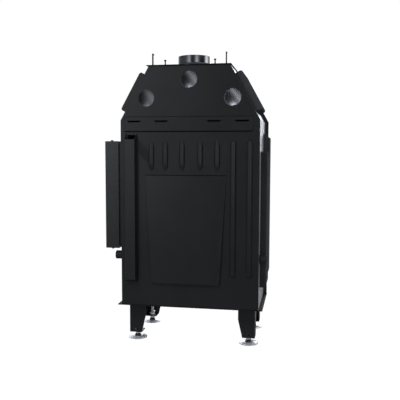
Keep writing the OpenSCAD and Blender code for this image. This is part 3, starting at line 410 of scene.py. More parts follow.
def grip_plastic():
    finish = Finish("grip_plastic")
    grain = finish.noise(2200, detail=2)
    wear = finish.noise(70, detail=3)
    finish.set("Base Color", finish.ramp(wear, (0.3, grey(0.012)), (0.7, grey(0.02))))
    finish.set("Roughness", 0.3 + wear * 0.15 + grain * 0.05)
    finish.bump(grain, distance=0.00008)
    return finish.material


# %% [markdown]
# ## Paint every piece of the model
# The model's record says which slot of the material list each piece belongs to. One finish per
# slot is made here, and every piece gets the finish of its slot. A few pieces get their own. The
# two panes differ, because each has its border round its own middle. The walls are the glossiest
# black, with a soft sheen at a low angle, and the side frame and the back duct differ in gloss
# only. The shields, the side duct, the left hood box and the front plate are duller and drawn
# lighter than black: painted light. The base plate is drawn darker: painted shade. The tube, the
# hooks, the studs and the top plate are matt black, the hooks and the top plate darker.

# %% One finish for each slot
PRINT_BORDER = 16 * MM
finishes = {
    "paint": black_paint(),
    "dark_paint": matt_paint(),
    "zinc": zinc_plate(),
    "plug": turned_steel(),
    "collar": burnished_steel(),
    "steel": raw_steel(),
    "iron": cast_iron(),
    "fireclay": fireclay(),
    "vermiculite": vermiculite(),
    "glass": glass_ceramic("side_pane_glass", "side_glass", 1, PRINT_BORDER),
    "rope": glass_rope(),
    "grip": grip_plastic(),
}
special = {
    "door_glass": glass_ceramic("door_pane_glass", "door_glass", 0, PRINT_BORDER),
    "cross_tube": matt_paint("tube_paint", 0.015, grip=0.3),
    # painted light: the shields, the side duct and the left hood box are black sheet, drawn lighter
    # for the light that falls on them
    "side_shield": matt_paint("shield_paint", 0.06, grip=0.0),
    "side_air_duct": matt_paint("duct_paint", 0.09, grip=0.0),
    "hood_box_left": matt_paint("box_paint", 0.048, grip=0.0),
    "side_frame": black_paint("frame_paint", gloss=0.22, grip=0.55),
    "back_air_duct": black_paint("back_duct_paint", gloss=0.25, grip=0.45),
    # painted light: the front plate is black sheet, drawn lighter for the light that falls on it
    "front_plate": matt_paint("plate_paint", 0.06, grip=0.0),
    # painted shade: the base plate is drawn darker for the shadow along its edge
    "base_plate": matt_paint("base_paint", 0.005, grip=0.3),
    "lifting_hooks": matt_paint("hook_paint", 0.008, grip=0.1),
    "top_studs": matt_paint("stud_paint", 0.02, grip=0.3),
    "top_plate": matt_paint("top_paint", 0.006, grip=0.1),
}
for side, paint_name in (("left", "wall_paint"), ("right", "wall_paint_right")):
    special["casing_wall_" + side] = black_paint(paint_name, gloss=0.3, grip=0.5,
                                                 Sheen_Weight=1.0, Sheen_Roughness=0.3)
slot_of = {row["node"]: row["material_slot"] for row in frame["record"]["subparts"]}


def finish_of(node):
    return special.get(node, finishes[slot_of[node]])


for node, obj in frame["nodes"].items():
    obj.data.materials.clear()
    obj.data.materials.append(finish_of(node))
print("finishes:", len(finishes) + len(special))

# %% [markdown]
# ## Turning a mesh into a piece
# A finished piece needs smooth shading with crisp edges, a finish and a body to ride on. This
# helper gives it all three, with the finish of the node's slot unless another is given, so that
# the steps below only have to deal with shape. Every edge round a large flat face is kept crisp,
# because a smoothed one would shade the whole face unevenly.

# %% Finish a piece
body_of = {node: body for body, nodes in frame["record"]["behaviour"]["bodies"].items()
           for node in nodes}
SHARP = math.radians(32)
CREASE = math.radians(1.5)
LARGE_FACE = 2e-3


def creases(bm, large):
    """Edges between a large flat face and anything that leaves its plane."""
    bm.edges.index_update()
    found = []
    for edge in bm.edges:
        if len(edge.link_faces) == 2 and edge.calc_face_angle() > CREASE:
            if max(face.calc_area() for face in edge.link_faces) > large:
                found.append(edge.index)
    return found


def make_piece(name, bm, node, finish=None, replace=True, large=LARGE_FACE):
    """Makes a piece that stands for node, or only rides with it where replace is False.

    A face larger than large, in square metres, keeps its edges crisp.
    """
    mesh = bpy.data.meshes.new(name)
    kept = creases(bm, large)
    bm.to_mesh(mesh)
    bm.free()
    mesh.polygons.foreach_set("use_smooth", [True] * len(mesh.polygons))
    mesh.set_sharp_from_angle(angle=SHARP)
    for index in kept:
        mesh.edges[index].use_edge_sharp = True
    mesh.materials.append(finish or finish_of(node))
    obj = bpy.data.objects.new(name, mesh)
    bpy.context.scene.collection.objects.link(obj)
    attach(obj, body_of[node])
    if replace:
        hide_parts(node)
    return obj


def joined(parts):
    """Several bmeshes as one."""
    whole = bmesh.new()
    for part in parts:
        mesh = bpy.data.meshes.new("part")
        part.to_mesh(mesh)
        part.free()
        whole.from_mesh(mesh)
        bpy.data.meshes.remove(mesh)
    return whole


# %% [markdown]
# ## Folded and cut edges
# No edge of a real sheet is perfectly sharp: a fold has a radius and a cut edge is deburred and
# painted. Those narrow rounds catch the light and draw the outline of every panel. The copy of a
# node is merged into clean faces first, and a Bevel modifier rounds its edges. All edges of the
# slotted band are kept crisp, because its faces between the slots are small.

# %% Round the edges of a node
FLAT = math.radians(0.05)
MERGE = 0.002 * MM
BEVEL_ANGLE = math.radians(35)
BEVEL_STEPS = 2
ALL_FLAT = ("louvre_band",)


def softened(node, radius, reshape=None):
    bm = bmesh.new()
    bm.from_mesh(frame["nodes"][node].data)
    bmesh.ops.remove_doubles(bm, verts=bm.verts, dist=MERGE)
    bmesh.ops.dissolve_limit(bm, angle_limit=FLAT, verts=bm.verts, edges=bm.edges)
    if reshape:
        reshape(bm)
    obj = make_piece(node + "_formed", bm, node, large=0 if node in ALL_FLAT else LARGE_FACE)
    bevel = obj.modifiers.new("rounded_edges", "BEVEL")
    bevel.width = radius
    bevel.segments = BEVEL_STEPS
    bevel.limit_method = "ANGLE"
    bevel.angle_limit = BEVEL_ANGLE
    bevel.use_clamp_overlap = True
    bevel.harden_normals = True
    return obj


# %% [markdown]
# ## Tongues of the slotted band
# Each slot of the band is cut on three sides only, and its tongue is bent in. On the real insert
# the tongue stands almost upright and closes the lower half of the slot. The tongue's corners are
# moved to where the photograph shows them.

# %% Set the tongues upright
SLOT_PLACES = (-244, -116, 130, 258)
TONGUE_HALF = 17
ROOT_HALF = 19.4
TIP_HALF = 25.2
TONGUE_TOP = 1046.9
INNER_BELOW = 1045.5
INNER_DEPTH = 2.1
OUTER_DEPTH = 3.2
TOLERANCE = 0.05


def upright_tongues(bm):
    moved = 0
    for vert in bm.verts:
        offset = (vert.co.x - MIDDLE_X) / MM
        slot = min(SLOT_PLACES, key=lambda x: abs(offset - x))
        if abs(abs(offset - slot) - TONGUE_HALF) > TOLERANCE:
            continue
        tip = vert.co.y < PANEL_Y
        half = TIP_HALF if tip else ROOT_HALF
        vert.co.x = MIDDLE_X + (slot + math.copysign(half, offset - slot)) * MM
        if tip:
            depth = INNER_DEPTH if vert.co.z < INNER_BELOW * MM else OUTER_DEPTH
            vert.co.y = PANEL_Y + depth * MM
            vert.co.z = TONGUE_TOP * MM
        moved += 1
    print("corners moved:", moved)


# %% [markdown]
# ## Formed edges
# The cover is a shallow tray that stands out further at its foot, which throws the wedge of shadow
# beside it. Only the front of its copy is moved, so the rim still reaches the panel. Its edges, and
# the upright folds of the back panel and the duct, have a wider round than a cut edge, so those are
# bevelled in the mesh. The duct's mouth is cut at a slant, and its back is drawn up a little.

# %% Round long edges
LONG_EDGE = 40 * MM
FILLET_STEPS = 3


def fillet(bm, chosen, width):
    """Rounds the long, sharp edges among the chosen ones."""
    edges = [edge for edge in bm.edges if len(edge.link_faces) == 2 and chosen(edge)
             and edge.calc_length() > LONG_EDGE and edge.calc_face_angle() > BEVEL_ANGLE]
    bmesh.ops.bevel(bm, geom=edges, offset=width * MM, offset_type="OFFSET",
                    segments=FILLET_STEPS, profile=0.5, affect="EDGES", material=-1)
    print("long edges rounded:", len(edges))


def upright(edge):
    """True for an edge that runs up rather than across."""
    along = edge.verts[1].co - edge.verts[0].co
    return abs(along.z) > 0.5 * along.length


# %% Tilt and round the cover
COVER_LIFT_TOP = 0.8
COVER_LIFT_FOOT = 8.5
COVER_ROUND = 2.5
RIM_DEPTH = 1 * MM


def cover_lift(z):
    """How far the cover's front stands out more at height z, in metres."""
    low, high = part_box("rear_cover_plate")
    share = (z - low.z) / (high.z - low.z)
    return (COVER_LIFT_FOOT + (COVER_LIFT_TOP - COVER_LIFT_FOOT) * share) * MM


def tilt_cover(bm):
    for vert in bm.verts:
        if vert.co.y > PANEL_Y + 2 * RIM_DEPTH:
            vert.co.y += cover_lift(vert.co.z)
    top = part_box("rear_cover_plate")[1].z - 4 * RIM_DEPTH
    fillet(bm, lambda edge: all(v.co.y > PANEL_Y + RIM_DEPTH for v in edge.verts)
           and (upright(edge) or edge.verts[0].co.z < top), COVER_ROUND)


# %% Round the folds of the panel and the duct
PANEL_ROUND = 2.0
DUCT_ROUND = 2.5
MOUTH_FROM = 960
MOUTH_LIFT = 5.4
MOUTH_DROP = -4


def round_panel(bm):
    fillet(bm, lambda edge: upright(edge) and all(abs(v.co.y - PANEL_Y) < 0.1 * MM
                                                  for v in edge.verts), PANEL_ROUND)


def round_duct(bm):
    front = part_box("back_air_duct")[1].y - 1 * MM
    for vert in bm.verts:
        if vert.co.z > MOUTH_FROM * MM:
            vert.co.z += (MOUTH_LIFT if vert.co.y < PANEL_Y + 1 * MM else MOUTH_DROP) * MM
    fillet(bm, lambda edge: upright(edge) and all(v.co.y > front for v in edge.verts),
           DUCT_ROUND)


# %% [markdown]
# ## Sloped edge of the band
# The band is a pressing, so its lower edge and its ends slope over a few millimetres. Its upper
# edge is cut straight. Two segments of a bevel give the slope its slight curve.

# %% Slope the band's edge
BAND_SLOPE = 3.4


def slope_band(bm):
    upright_tongues(bm)
    low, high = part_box("louvre_band")
    front = high.y - 0.01 * MM
    rim = [edge for edge in bm.edges if all(v.co.y > front for v in edge.verts)
           and (all(abs(v.co.z - low.z) < MERGE for v in edge.verts)
                or all(abs(v.co.x - low.x) < MERGE for v in edge.verts)
                or all(abs(v.co.x - high.x) < MERGE for v in edge.verts))]
    bmesh.ops.bevel(bm, geom=rim, offset=BAND_SLOPE * MM, offset_type="OFFSET", segments=2,
                    profile=0.5, affect="EDGES", material=-1)
    print("edges of the band sloped:", len(rim))


RESHAPE = {"louvre_band": slope_band, "rear_cover_plate": tilt_cover, "back_panel": round_panel,
           "back_air_duct": round_duct}

# %% [markdown]
# ## Which pieces are sheet, stout metal or clay
# The size of the round tells the material: thin sheet has hardly any, a casting or a bar has more,
# and a brick has the most because its corners wear off.

# %% Sheet metal, bricks and castings
SHEETS = ["back_panel", "casing_wall_left", "casing_wall_right", "hood_side_left",
          "hood_side_right", "top_plate", "front_plate", "base_plate", "louvre_band",
          "rear_cover_plate", "back_air_duct", "side_air_duct", "side_shield", "hood_box_left",
          "hood_box_right", "leg_rear_left", "leg_rear_right", "leg_front_left",
          "leg_front_right", "firebox_shell", "smoke_dome", "ash_chamber", "ash_pan", "air_box",
          "air_slider", "front_frame", "side_frame", "side_glass_trim", "side_frame_bolts",
          "upper_baffle", "glass_clips"]
STOUT = ["lifting_hooks", "top_studs", "leg_nuts", "hinge_brackets", "hinge_pins", "door_frame",
         "handle_lever", "latch_spindle", "log_guard", "grate", "cross_tube"]
CLAY = ["rear_bricks", "side_brick", "sill_brick", "floor_bricks", "lower_baffle"]
SHEET_ROUND = 0.7 * MM
STOUT_ROUND = 1.0 * MM
CLAY_ROUND = 2.5 * MM
for nodes, radius in ((SHEETS, SHEET_ROUND), (STOUT, STOUT_ROUND), (CLAY, CLAY_ROUND)):
    for node in nodes:
        softened(node, radius, reshape=RESHAPE.get(node))
print("pieces with rounded edges:", len(SHEETS) + len(STOUT) + len(CLAY))

# %% [markdown]
# ## Painted shade along the band and the cover
# Nearly black beads lie along the upper and lower edges of the band and the upper edge of the
# cover: painted shade, for the dark line of shadow at those edges. A bead is half a flat ellipse,
# extruded along the edge.

# %% Beads along the long edges
BEAD_STEPS = 8
BEAD_HEIGHT = 1.4
BEAD_GAP = 0.02


def bead(node, top, width):
    """A bead along the upper or lower edge of a node, width in millimetres."""
    low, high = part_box(node)
    edge = high.z if top else low.z - width * MM
    bm = bmesh.new()
    turns = [math.pi * i / BEAD_STEPS for i in range(BEAD_STEPS + 1)]
    ring = [bm.verts.new((low.x, PANEL_Y + (BEAD_GAP + BEAD_HEIGHT * math.sin(turn)) * MM,
                          edge + width * MM * (1 - math.cos(turn)) / 2)) for turn in turns]
    end = bm.faces.new(ring)
    run = bmesh.ops.extrude_face_region(bm, geom=[end], use_keep_orig=True)
    bmesh.ops.translate(bm, vec=(high.x - low.x, 0, 0),
                        verts=[v for v in run["geom"] if isinstance(v, bmesh.types.BMVert)])
    bmesh.ops.recalc_face_normals(bm, faces=bm.faces)
    return bm


# painted shade: an almost black matt paint that draws the shadow lines at those edges
cement = matt_paint("cement", 0.0015, grip=0.0)
beads = [bead("louvre_band", True, 2.0), bead("louvre_band", False, 2.6),
         bead("rear_cover_plate", True, 2.6)]
print("beads:", len(beads))
make_piece("cement_beads", joined(beads), "back_panel", cement, replace=False)

# %% [markdown]
# ## Turned and spun pieces
# Plugs, collar, feet and grip are bodies of revolution. A few points describe the profile, and the
# spin operator turns it into a solid of revolution. The profile is given as radius and height in
# millimetres, and the piece is then tipped to its axis and moved to its place.

# %% Spin a profile
def spun(profile, place, tip=Matrix(), steps=96):
    """A closed bmesh turned from a profile of (radius, height) points."""
    bm = bmesh.new()
    verts = [bm.verts.new((radius * MM, 0, height * MM)) for radius, height in profile]
    edges = [bm.edges.new(pair) for pair in zip(verts, verts[1:])]
    if profile[0][0] > 0:
        edges.append(bm.edges.new((verts[-1], verts[0])))
    bmesh.ops.spin(bm, geom=verts + edges, cent=(0, 0, 0), axis=(0, 0, 1),
                   angle=2 * math.pi, steps=steps, use_merge=True)
    bmesh.ops.remove_doubles(bm, verts=bm.verts, dist=MERGE)
    bmesh.ops.recalc_face_normals(bm, faces=bm.faces)
    bmesh.ops.transform(bm, matrix=Matrix.Translation(place) @ tip, verts=bm.verts)
    return bm


def arc(cx, cy, radius, start, end, steps):
    """Points of an arc in the profile, with angles in degrees."""
    turns = [math.radians(start + (end - start) * i / steps) for i in range(steps + 1)]
    return [(cx + radius * math.cos(t), cy + radius * math.sin(t)) for t in turns]


TO_BACK = Matrix.Rotation(-math.pi / 2, 4, "X")
TO_FRONT = Matrix.Rotation(math.pi / 2, 4, "X")

# %% [markdown]
# ## Blanking plugs
# Each plug closes a hot air outlet. Its face is dished a little towards the firebox, a narrow
# groove runs round it, and a flange behind the sheet holds it. The dish matters: it makes a hollow
# mirror of the face, so that one small disc shows a wide part of the room.

# %% Blanking plugs
DISH = 2.4
FACE = 37.2
FACE_STEPS = 14
PLUG_SHEET = 1.5
face_points = [(FACE * i / FACE_STEPS, -PLUG_SHEET - DISH * (1 - (i / FACE_STEPS) ** 2))
               for i in range(FACE_STEPS + 1)]
back_points = [(r, h - PLUG_SHEET) for r, h in reversed(face_points)]
plug_profile = (face_points + [(37.5, -1.8), (37.6, -3), (46, -3), (46, -4.5), (37.2, -4.5)]
                + back_points)
plug_pieces = [make_piece(f"blanking_plug_{x:.0f}", spun(plug_profile, spot(x, 0, z), TO_BACK),
                          "outlet_plugs") for x, z in PLUG_PLACES]
print("plugs:", len(plug_pieces), "dished by", DISH, "mm")

# %% [markdown]
# ## Flue collar
# The collar is a rolled tube on a low cone with an upright edge. Its rim is rounded over, and a
# small fillet of weld joins the tube to the cone.

# %% Flue collar
collar_low, collar_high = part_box("flue_collar")
TOP_PLATE_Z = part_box("top_plate")[1].z / MM
RIM_Z = collar_high.z / MM
FOOT_Z = collar_low.z / MM
collar_profile = ([(75, FOOT_Z), (77.5, FOOT_Z), (77.5, TOP_PLATE_Z), (118, TOP_PLATE_Z)]
                  + arc(116, TOP_PLATE_Z + 4, 2, 0, 80, 5)
                  + [(100, TOP_PLATE_Z + 8.6), (87, TOP_PLATE_Z + 10.6)]
                  + arc(86.5, TOP_PLATE_Z + 19.6, 9, -100, -178, 6)
                  + arc(76.25, RIM_Z - 1.25, 1.25, 0, 180, 8))
COLLAR_Y = -135
make_piece("flue_collar_rolled", spun(collar_profile, spot(0, COLLAR_Y, 0), steps=128),
           "flue_collar")
print("collar: rim", round(RIM_Z - TOP_PLATE_Z, 1), "mm above the top plate")

# %% [markdown]
# ## Levelling feet
# A foot is three things: a pressed and plated disc, a black hub that lets it tilt, and a threaded
# stud. The thread is a zigzag profile spun once with a lift of one pitch, which makes a true helix.
# The ends of the helix are cut flat with bisect_plane.

# %% A threaded stud
THREAD_STEPS = 24


def threaded_rod(outer, root, pitch, bottom, top, place):
    bm = bmesh.new()
    turns = math.ceil((top - bottom) / pitch) + 2
    heights = [bottom - 2 * pitch + i * pitch / 2 for i in range(2 * turns + 3)]
    verts = [bm.verts.new(((root if i % 2 else outer) * MM, 0, h * MM))
             for i, h in enumerate(heights)]
    edges = [bm.edges.new(pair) for pair in zip(verts, verts[1:])]
    bmesh.ops.spin(bm, geom=verts + edges, cent=(0, 0, 0), axis=(0, 0, 1),
                   dvec=(0, 0, pitch * MM / THREAD_STEPS), angle=2 * math.pi,
                   steps=THREAD_STEPS, use_merge=False)
    bmesh.ops.remove_doubles(bm, verts=bm.verts, dist=MERGE)
    for height, up in ((bottom, -1), (top, 1)):
        bmesh.ops.bisect_plane(bm, geom=bm.verts[:] + bm.edges[:] + bm.faces[:],
                               plane_co=(0, 0, height * MM), plane_no=(0, 0, up),
                               clear_outer=True)
        rim = [e for e in bm.edges if e.is_boundary and abs(e.verts[0].co.z - height * MM) < MERGE
               and abs(e.verts[1].co.z - height * MM) < MERGE]
        bmesh.ops.contextual_create(bm, geom=rim)
    bmesh.ops.recalc_face_normals(bm, faces=bm.faces)
    bmesh.ops.transform(bm, matrix=Matrix.Translation(place), verts=bm.verts)
    return bm


# %% Feet
STUD_RADIUS = 8
THREAD_ROOT = 7.1
THREAD_PITCH = 2
HUB_TOP = 18
disc_profile = [(0, 0), (44.6, 0), (45.6, 0.4), (46, 1.4), (45.8, 2.8), (44.8, 3.8), (43.2, 4.1),
                (41.4, 3.7), (38, 4.4), (30, 6.1), (22, 7.6), (18.5, 8), (0, 8)]
hub_profile = [(0, 7.6), (15.4, 7.6), (16, 8.4), (15.6, 11), (14.2, 14.4), (12.4, 17.2),
                (11.2, HUB_TOP), (0, HUB_TOP)]
for end in ("rear", "front"):
    for side in ("left", "right"):
        node = f"foot_{end}_{side}"
        centre = middle(node)
        centre.z = 0
        stud_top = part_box(node)[1].z / MM
        make_piece(node + "_disc", spun(disc_profile, centre), node)
        make_piece(node + "_hub", spun(hub_profile, centre, steps=48), node,
                   finishes["grip"], replace=False)
        stud = threaded_rod(STUD_RADIUS, THREAD_ROOT, THREAD_PITCH, HUB_TOP, stud_top, centre)
        print(node, "stud to", round(stud_top, 1), "mm, faces of the thread:", len(stud.faces))
        make_piece(node + "_stud", stud, node, replace=False)

# %% [markdown]
# ## Screws of the cover plate
# Two pan head screws hold the cover. Their heads are low domes, and they stand out further at the
# cover's foot, as the cover itself does.

# %% Cover screws
screws = []
screw_low, screw_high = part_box("cover_screws")
HEAD_RADIUS = 4.5
HEAD_HEIGHT = 2.5
SHANK = 2.5
SHANK_END = -10
head = [(0, HEAD_HEIGHT), (1.6, 2.45), (3, 2.1), (4, 1.3), (HEAD_RADIUS, 0.3), (HEAD_RADIUS, 0),
        (SHANK, 0), (SHANK, SHANK_END), (0, SHANK_END)]
for z in (screw_low.z + HEAD_RADIUS * MM, screw_high.z - HEAD_RADIUS * MM):
    place = Vector((middle("cover_screws").x, screw_high.y - HEAD_HEIGHT * MM + cover_lift(z), z))
    screws.append(spun(head, place, TO_BACK, steps=32))
print("screws:", len(screws))
make_piece("cover_screw_heads", joined(screws), "cover_screws")

# %% [markdown]
# ## Handle grip and air knob
# Both are turned from heat-proof plastic. The grip has shallow rings for the fingers and domed
# ends. The knob has flutes, made by pulling every third row of its side inwards.

# %% Grip
grip_low, grip_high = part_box("handle_grip")
grip_length = (grip_high.z - grip_low.z) / MM
GRIP_R = 10.0
RING_DEPTH = 0.55
RING_STEPS = 12
RINGS = 7
ring_rows = RING_STEPS * RINGS
grip_side = [(GRIP_R - RING_DEPTH * (1 - math.cos(2 * math.pi * i / RING_STEPS)),
              grip_length * (0.12 + 0.76 * i / ring_rows)) for i in range(ring_rows + 1)]
grip_profile = ([(0, 0)] + arc(GRIP_R - 5, 5, 5, -90, -5, 6) + grip_side
                + arc(GRIP_R - 4, grip_length - 4, 4, 5, 90, 6) + [(0, grip_length)])
grip_place = Vector((middle("handle_grip").x, middle("handle_grip").y, grip_low.z))
make_piece("handle_grip_turned", spun(grip_profile, grip_place, steps=48), "handle_grip")
print("grip:", round(grip_length, 1), "mm long with", RINGS, "rings")

# %% Knob
knob_low, knob_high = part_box("air_knob")
knob_length = (knob_high.y - knob_low.y) / MM
knob_profile = [(0, 0), (7, 0), (8, 0.8), (8.4, 3), (10.4, 4.4), (11, 5.4),
                (11, knob_length - 2), (10.2, knob_length - 0.5), (9, knob_length),
                (5, knob_length - 0.4), (0, knob_length - 0.6)]
KNOB_STEPS = 60
FLUTE_FROM = 10 * MM
FLUTE_SHARE = 0.94
knob = spun(knob_profile, Vector((0, 0, 0)), steps=KNOB_STEPS)
fluted = 0
for vert in knob.verts:
    turn = math.atan2(vert.co.y, vert.co.x) / (2 * math.pi) * KNOB_STEPS
    if vert.co.xy.length > FLUTE_FROM and round(turn) % 3 == 0:
        vert.co.xy = vert.co.xy * FLUTE_SHARE
        fluted += 1
print("knob: points pulled in:", fluted)
knob_place = Vector((middle("air_knob").x, knob_high.y, middle("air_knob").z))
bmesh.ops.transform(knob, matrix=Matrix.Translation(knob_place) @ TO_FRONT, verts=knob.verts)
make_piece("air_knob_fluted", knob, "air_knob")

# %% [markdown]
# ## Rope seal
# The door closes on a rope of glass fibre that lies in a groove. A rope is strands that wind round
# a common line, so each strand is a curve with a round section that circles the seal's path. Four
# strands fill the groove, as the real rope does.

# %% Rope seal
seal_low, seal_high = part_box("door_seal")
rope_r = (seal_high.y - seal_low.y) / 2
corner = 16 * MM
STRANDS = 4
LAY = 22 * MM
ROPE_STEP = 1.9 * MM
STRAND_SHARE = 0.42
ORBIT_SHARE = 0.56


def seal_path(step):
    """Points and outward directions along the seal's rounded rectangle."""
    half = Vector(((seal_high.x - seal_low.x) / 2 - rope_r, 0,
                   (seal_high.z - seal_low.z) / 2 - rope_r))
    centre = (seal_low + seal_high) / 2
    sides = [(Vector((1, 0, 0)), half.z - corner), (Vector((0, 0, 1)), half.x - corner),
             (Vector((-1, 0, 0)), half.z - corner), (Vector((0, 0, -1)), half.x - corner)]
    points = []
    for index, (out, run) in enumerate(sides):
        along = sides[(index + 1) % 4][0]
        reach = abs(out.x) * half.x + abs(out.z) * half.z
        count = int(2 * run / step)
        for i in range(count):
            points.append((centre + out * reach + along * (-run + 2 * run * i / count), out))
        bend = centre + out * (reach - corner) + along * run
        count = int(corner * math.pi / 2 / step)
        for i in range(count):
            turn = math.pi / 2 * i / count
            away = out * math.cos(turn) + along * math.sin(turn)
            points.append((bend + away * corner, away))
    return points


rope_points = seal_path(ROPE_STEP)
laps = round(len(rope_points) * ROPE_STEP / LAY)
rope_curve = bpy.data.curves.new("rope_strands", "CURVE")
rope_curve.dimensions = "3D"
rope_curve.bevel_depth = rope_r * STRAND_SHARE
rope_curve.bevel_resolution = 2
for strand in range(STRANDS):
    line = rope_curve.splines.new("POLY")
    line.points.add(len(rope_points) - 1)
    line.use_cyclic_u = True
    for i, (point, out) in enumerate(rope_points):
        turn = 2 * math.pi * (laps * i / len(rope_points) + strand / STRANDS)
        away = out * math.cos(turn) + Vector((0, 1, 0)) * math.sin(turn)
        line.points[i].co = (*(point + away * rope_r * ORBIT_SHARE), 1)
rope_object = bpy.data.objects.new("rope_strands", rope_curve)
bpy.context.scene.collection.objects.link(rope_object)
rope_mesh = bpy.data.meshes.new_from_object(rope_object)
bpy.data.objects.remove(rope_object)
rope = bmesh.new()
rope.from_mesh(rope_mesh)
make_piece("door_seal_rope", rope, "door_seal")
print("rope: strands", STRANDS, "laps", laps)

# %% [markdown]
# ## Floor
# The insert stands on plain white and keeps a soft shadow. The white comes from what the camera
# sees, not from more light: the floor glows a little for camera rays, and for mirrored rays only
# where it lies in front of the insert, which the camera never sees.

# %% Floor
FLOOR_RADIUS = 14.0
FLOOR_WHITE = 1.13
SEEN_GLOW = 0.88
MIRRORED_GLOW = 0.75
FRONT_EDGE = 0.3
FRONT_FADE = 0.8
floor_mesh = bmesh.new()
bmesh.ops.create_circle(floor_mesh, cap_ends=True, segments=96, radius=FLOOR_RADIUS)
floor_data = bpy.data.meshes.new("floor")
floor_mesh.to_mesh(floor_data)
floor_mesh.free()
floor = bpy.data.objects.new("floor", floor_data)
bpy.context.scene.collection.objects.link(floor)
floor_finish = Finish("floor_white", Base_Color=grey(0.42), Roughness=0.9)
glow = floor_finish.node("ShaderNodeEmission", None,
                         {"Color": grey(1.0), "Strength": FLOOR_WHITE})
seen = floor_finish.node("ShaderNodeLightPath")
mirrored = floor_finish.node("ShaderNodeLightPath", out=3)
depth = floor_finish.node("ShaderNodeSeparateXYZ", None, {0: floor_finish.place}, out=1)
in_front = floor_finish.math("MULTIPLY", depth + FRONT_EDGE, -FRONT_FADE, clamp=True)
mixed = floor_finish.node("ShaderNodeMixShader", None, {
    0: seen * SEEN_GLOW + mirrored * in_front * MIRRORED_GLOW,
    1: Wire(floor_finish, floor_finish.shader.outputs[0]), 2: glow})
floor_finish.tree.links.new(mixed.socket,
                            floor_finish.tree.nodes["Material Output"].inputs["Surface"])
floor_data.materials.append(floor_finish.material)
print("floor radius:", FLOOR_RADIUS, "m")

# %% [markdown]
# ## World
# Black satin paint is seen almost only by what it mirrors, so the room round the insert matters
# more than the lamps. For camera rays the world is plain white. For everything else it is a studio
# of greys. Each pair below is a bearing in degrees, counted from straight behind the insert towards
# its glazed side, and the grey of the wall or the roof in that direction.

# %% World
STUDIO = [(-180, 4.4), (-169, 4.4), (-151, 0.8), (-128, 1.0), (-108, 4.6), (-88, 0.4),
          (-78, 0.0), (-55, 0.0), (-42, 0.6), (-27, 3.0), (-18, 1.0), (-8, 0.15), (5, 0.04),
          (12, 0.2), (20, 1.3), (29, 1.8), (36, 1.0), (50, 0.35), (81, 0.2), (111, 0.3),
          (145, 1.0), (180, 4.4)]
ROOF = [(-180, 0.25), (-110, 0.4), (-60, 0.5), (-25, 0.3), (5, 0.2), (30, 0.7), (60, 0.15),
        (180, 0.25)]
world = bpy.data.worlds.new("studio")
bpy.context.scene.world = world
world.use_nodes = True
studio = Maker(world.node_tree)
sight = studio.node("ShaderNodeTexCoord")
compass = [studio.node("ShaderNodeSeparateXYZ", None, {0: sight}, out=axis) for axis in range(3)]
bearing = studio.math("ARCTAN2", compass[0], compass[1]) / (2 * math.pi) + 0.5
walls, roof = [studio.ramp(bearing, *((0.5 + turn / 360, cool(level)) for turn, level in part))
               for part in (STUDIO, ROOF)]
ROOF_FROM = 0.27
ROOF_BLEND = 6.0
room = studio.blend(studio.math("MULTIPLY", compass[2] - ROOF_FROM, ROOF_BLEND, clamp=True),
                    walls, roof)
white_seen = studio.node("ShaderNodeLightPath")
WORLD_WHITE = 1.02
shown = studio.node("ShaderNodeBackground", None, {"Color": grey(1.0), "Strength": WORLD_WHITE})
lit = studio.node("ShaderNodeBackground", None, {"Color": room, "Strength": 1.0})
both = studio.node("ShaderNodeMixShader", None, {0: white_seen, 1: lit, 2: shown})
world.node_tree.links.new(both.socket, world.node_tree.nodes["World Output"].inputs["Surface"])
print("greys of the walls:", len(STUDIO), "and of the roof:", len(ROOF))

# %% [markdown]
# ## Lamps
# Two soft boxes light the insert from the upper left and from the closed side. Their own mirror
# images would be hard bright spots in the paint, so glossy rays don't see them. A few lamps do the
# opposite: they are there only as mirror images, and only for the pieces that they are linked to.


# %% Soft boxes
def soft_box(name, place, aim, width, watts, spread, only=(), length=None, lean=0):
    """A square or long area lamp; only lists the pieces that mirror it, if it is just for them."""
    data = bpy.data.lights.new(name, "AREA")
    data.color = cool(1.0)[:3]
    data.spread = math.radians(spread)
    data.size = length or width
    if length:
        data.shape = "RECTANGLE"
        data.size_y = width
    data.energy = watts
    lamp = bpy.data.objects.new(name, data)
    bpy.context.scene.collection.objects.link(lamp)
    lamp.location = place
    lamp.visible_glossy = bool(only)
    lamp.visible_diffuse = not only
    if only:
        lamp.light_linking.receiver_collection = bpy.data.collections.new(name + "_targets")
        for obj in only:
            lamp.light_linking.receiver_collection.objects.link(obj)
    lamp.rotation_euler = ((Vector(aim) - Vector(place)).to_track_quat("-Z", "Y")
                           @ Quaternion((0, 0, 1), math.radians(lean))).to_euler()


soft_box("key", place=(0.85, 1.75, 2.45), aim=(0.35, 0.2, 1.1), width=1.1, watts=8.5, spread=75)
soft_box("rim", place=(-2.6, -1.2, 2.4), aim=(0, 0, 0.8), width=1.6, watts=6, spread=120)
print("soft boxes:", len(bpy.data.lights))

# %% [markdown]
# ## What the plugs mirror
# The photograph shows a slanting strip of light and a small bright spot in each plug, at the same
# place in all three. Each plug therefore has a strip and a spot of its own, placed from the
# direction in which its middle mirrors the camera.

# %% Strip and spot of each plug
LAMP_REACH = 1.5
MIRROR_TURN = (11, 6.5, 16)
MIRROR_RISE = (7.4, 5.6, 5.6)
PLUG_SHARE = (1.0, 1.8, 0.4)
STRIP_AWAY = (5.2, -3.5)
SPOT_AWAY = (1.7, 12.2)
PLUG_SPREAD = 160


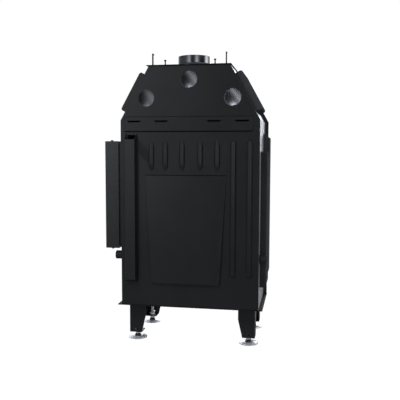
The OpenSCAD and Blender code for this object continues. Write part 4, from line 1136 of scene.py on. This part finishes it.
def toward(turn, rise):
    """A direction from its bearing and rise in degrees; 0 is straight behind the insert."""
    turn, rise = math.radians(turn), math.radians(rise)
    return Vector((math.sin(turn) * math.cos(rise), math.cos(turn) * math.cos(rise),
                   math.sin(rise)))


for piece, (x, z), turn, rise, share in zip(plug_pieces, PLUG_PLACES, MIRROR_TURN, MIRROR_RISE,
                                            PLUG_SHARE):
    face = spot(x, 0, z)
    strip = face + toward(turn + STRIP_AWAY[0], rise + STRIP_AWAY[1]) * LAMP_REACH
    point = face + toward(turn + SPOT_AWAY[0], rise + SPOT_AWAY[1]) * LAMP_REACH
    soft_box(piece.name + "_strip", strip, face, width=0.08, watts=0.8 * share,
             spread=PLUG_SPREAD, only=[piece], length=0.9, lean=-52)
    soft_box(piece.name + "_spot", point, face, width=0.13, watts=0.7 * share,
             spread=PLUG_SPREAD, only=[piece])
print("lamps:", len(bpy.data.lights))

# %% [markdown]
# ## Camera
# The view was recovered by fitting a pinhole camera to corners of the casing, hood, base and feet.
# The fit gives a focal length in pixels of the 400 pixel wide picture, a place measured from the
# foot of the back panel, and three small angles in radians.

# %% Camera
PICTURE = 400
FOCAL_PIXELS = 578.05
SENSOR = 36.0
YAW, PITCH, ROLL = 0.1751, 0.0791, 0.0024
CAMERA_PLACE = (-513.9, 2607.2, 899.9)
forward = Vector((math.sin(YAW) * math.cos(PITCH), -math.cos(YAW) * math.cos(PITCH),
                  -math.sin(PITCH)))
camera_data = bpy.data.cameras.new("camera")
camera_data.sensor_width = SENSOR
camera_data.lens = SENSOR * FOCAL_PIXELS / PICTURE
camera = bpy.data.objects.new("camera", camera_data)
bpy.context.scene.collection.objects.link(camera)
camera.matrix_world = (Matrix.Translation(spot(*CAMERA_PLACE))
                       @ forward.to_track_quat("-Z", "Y").to_matrix().to_4x4()
                       @ Matrix.Rotation(ROLL, 4, "Z"))
bpy.context.scene.camera = camera
bpy.context.scene.view_settings.view_transform = "Standard"
print("camera: lens", round(camera_data.lens, 2), "mm")
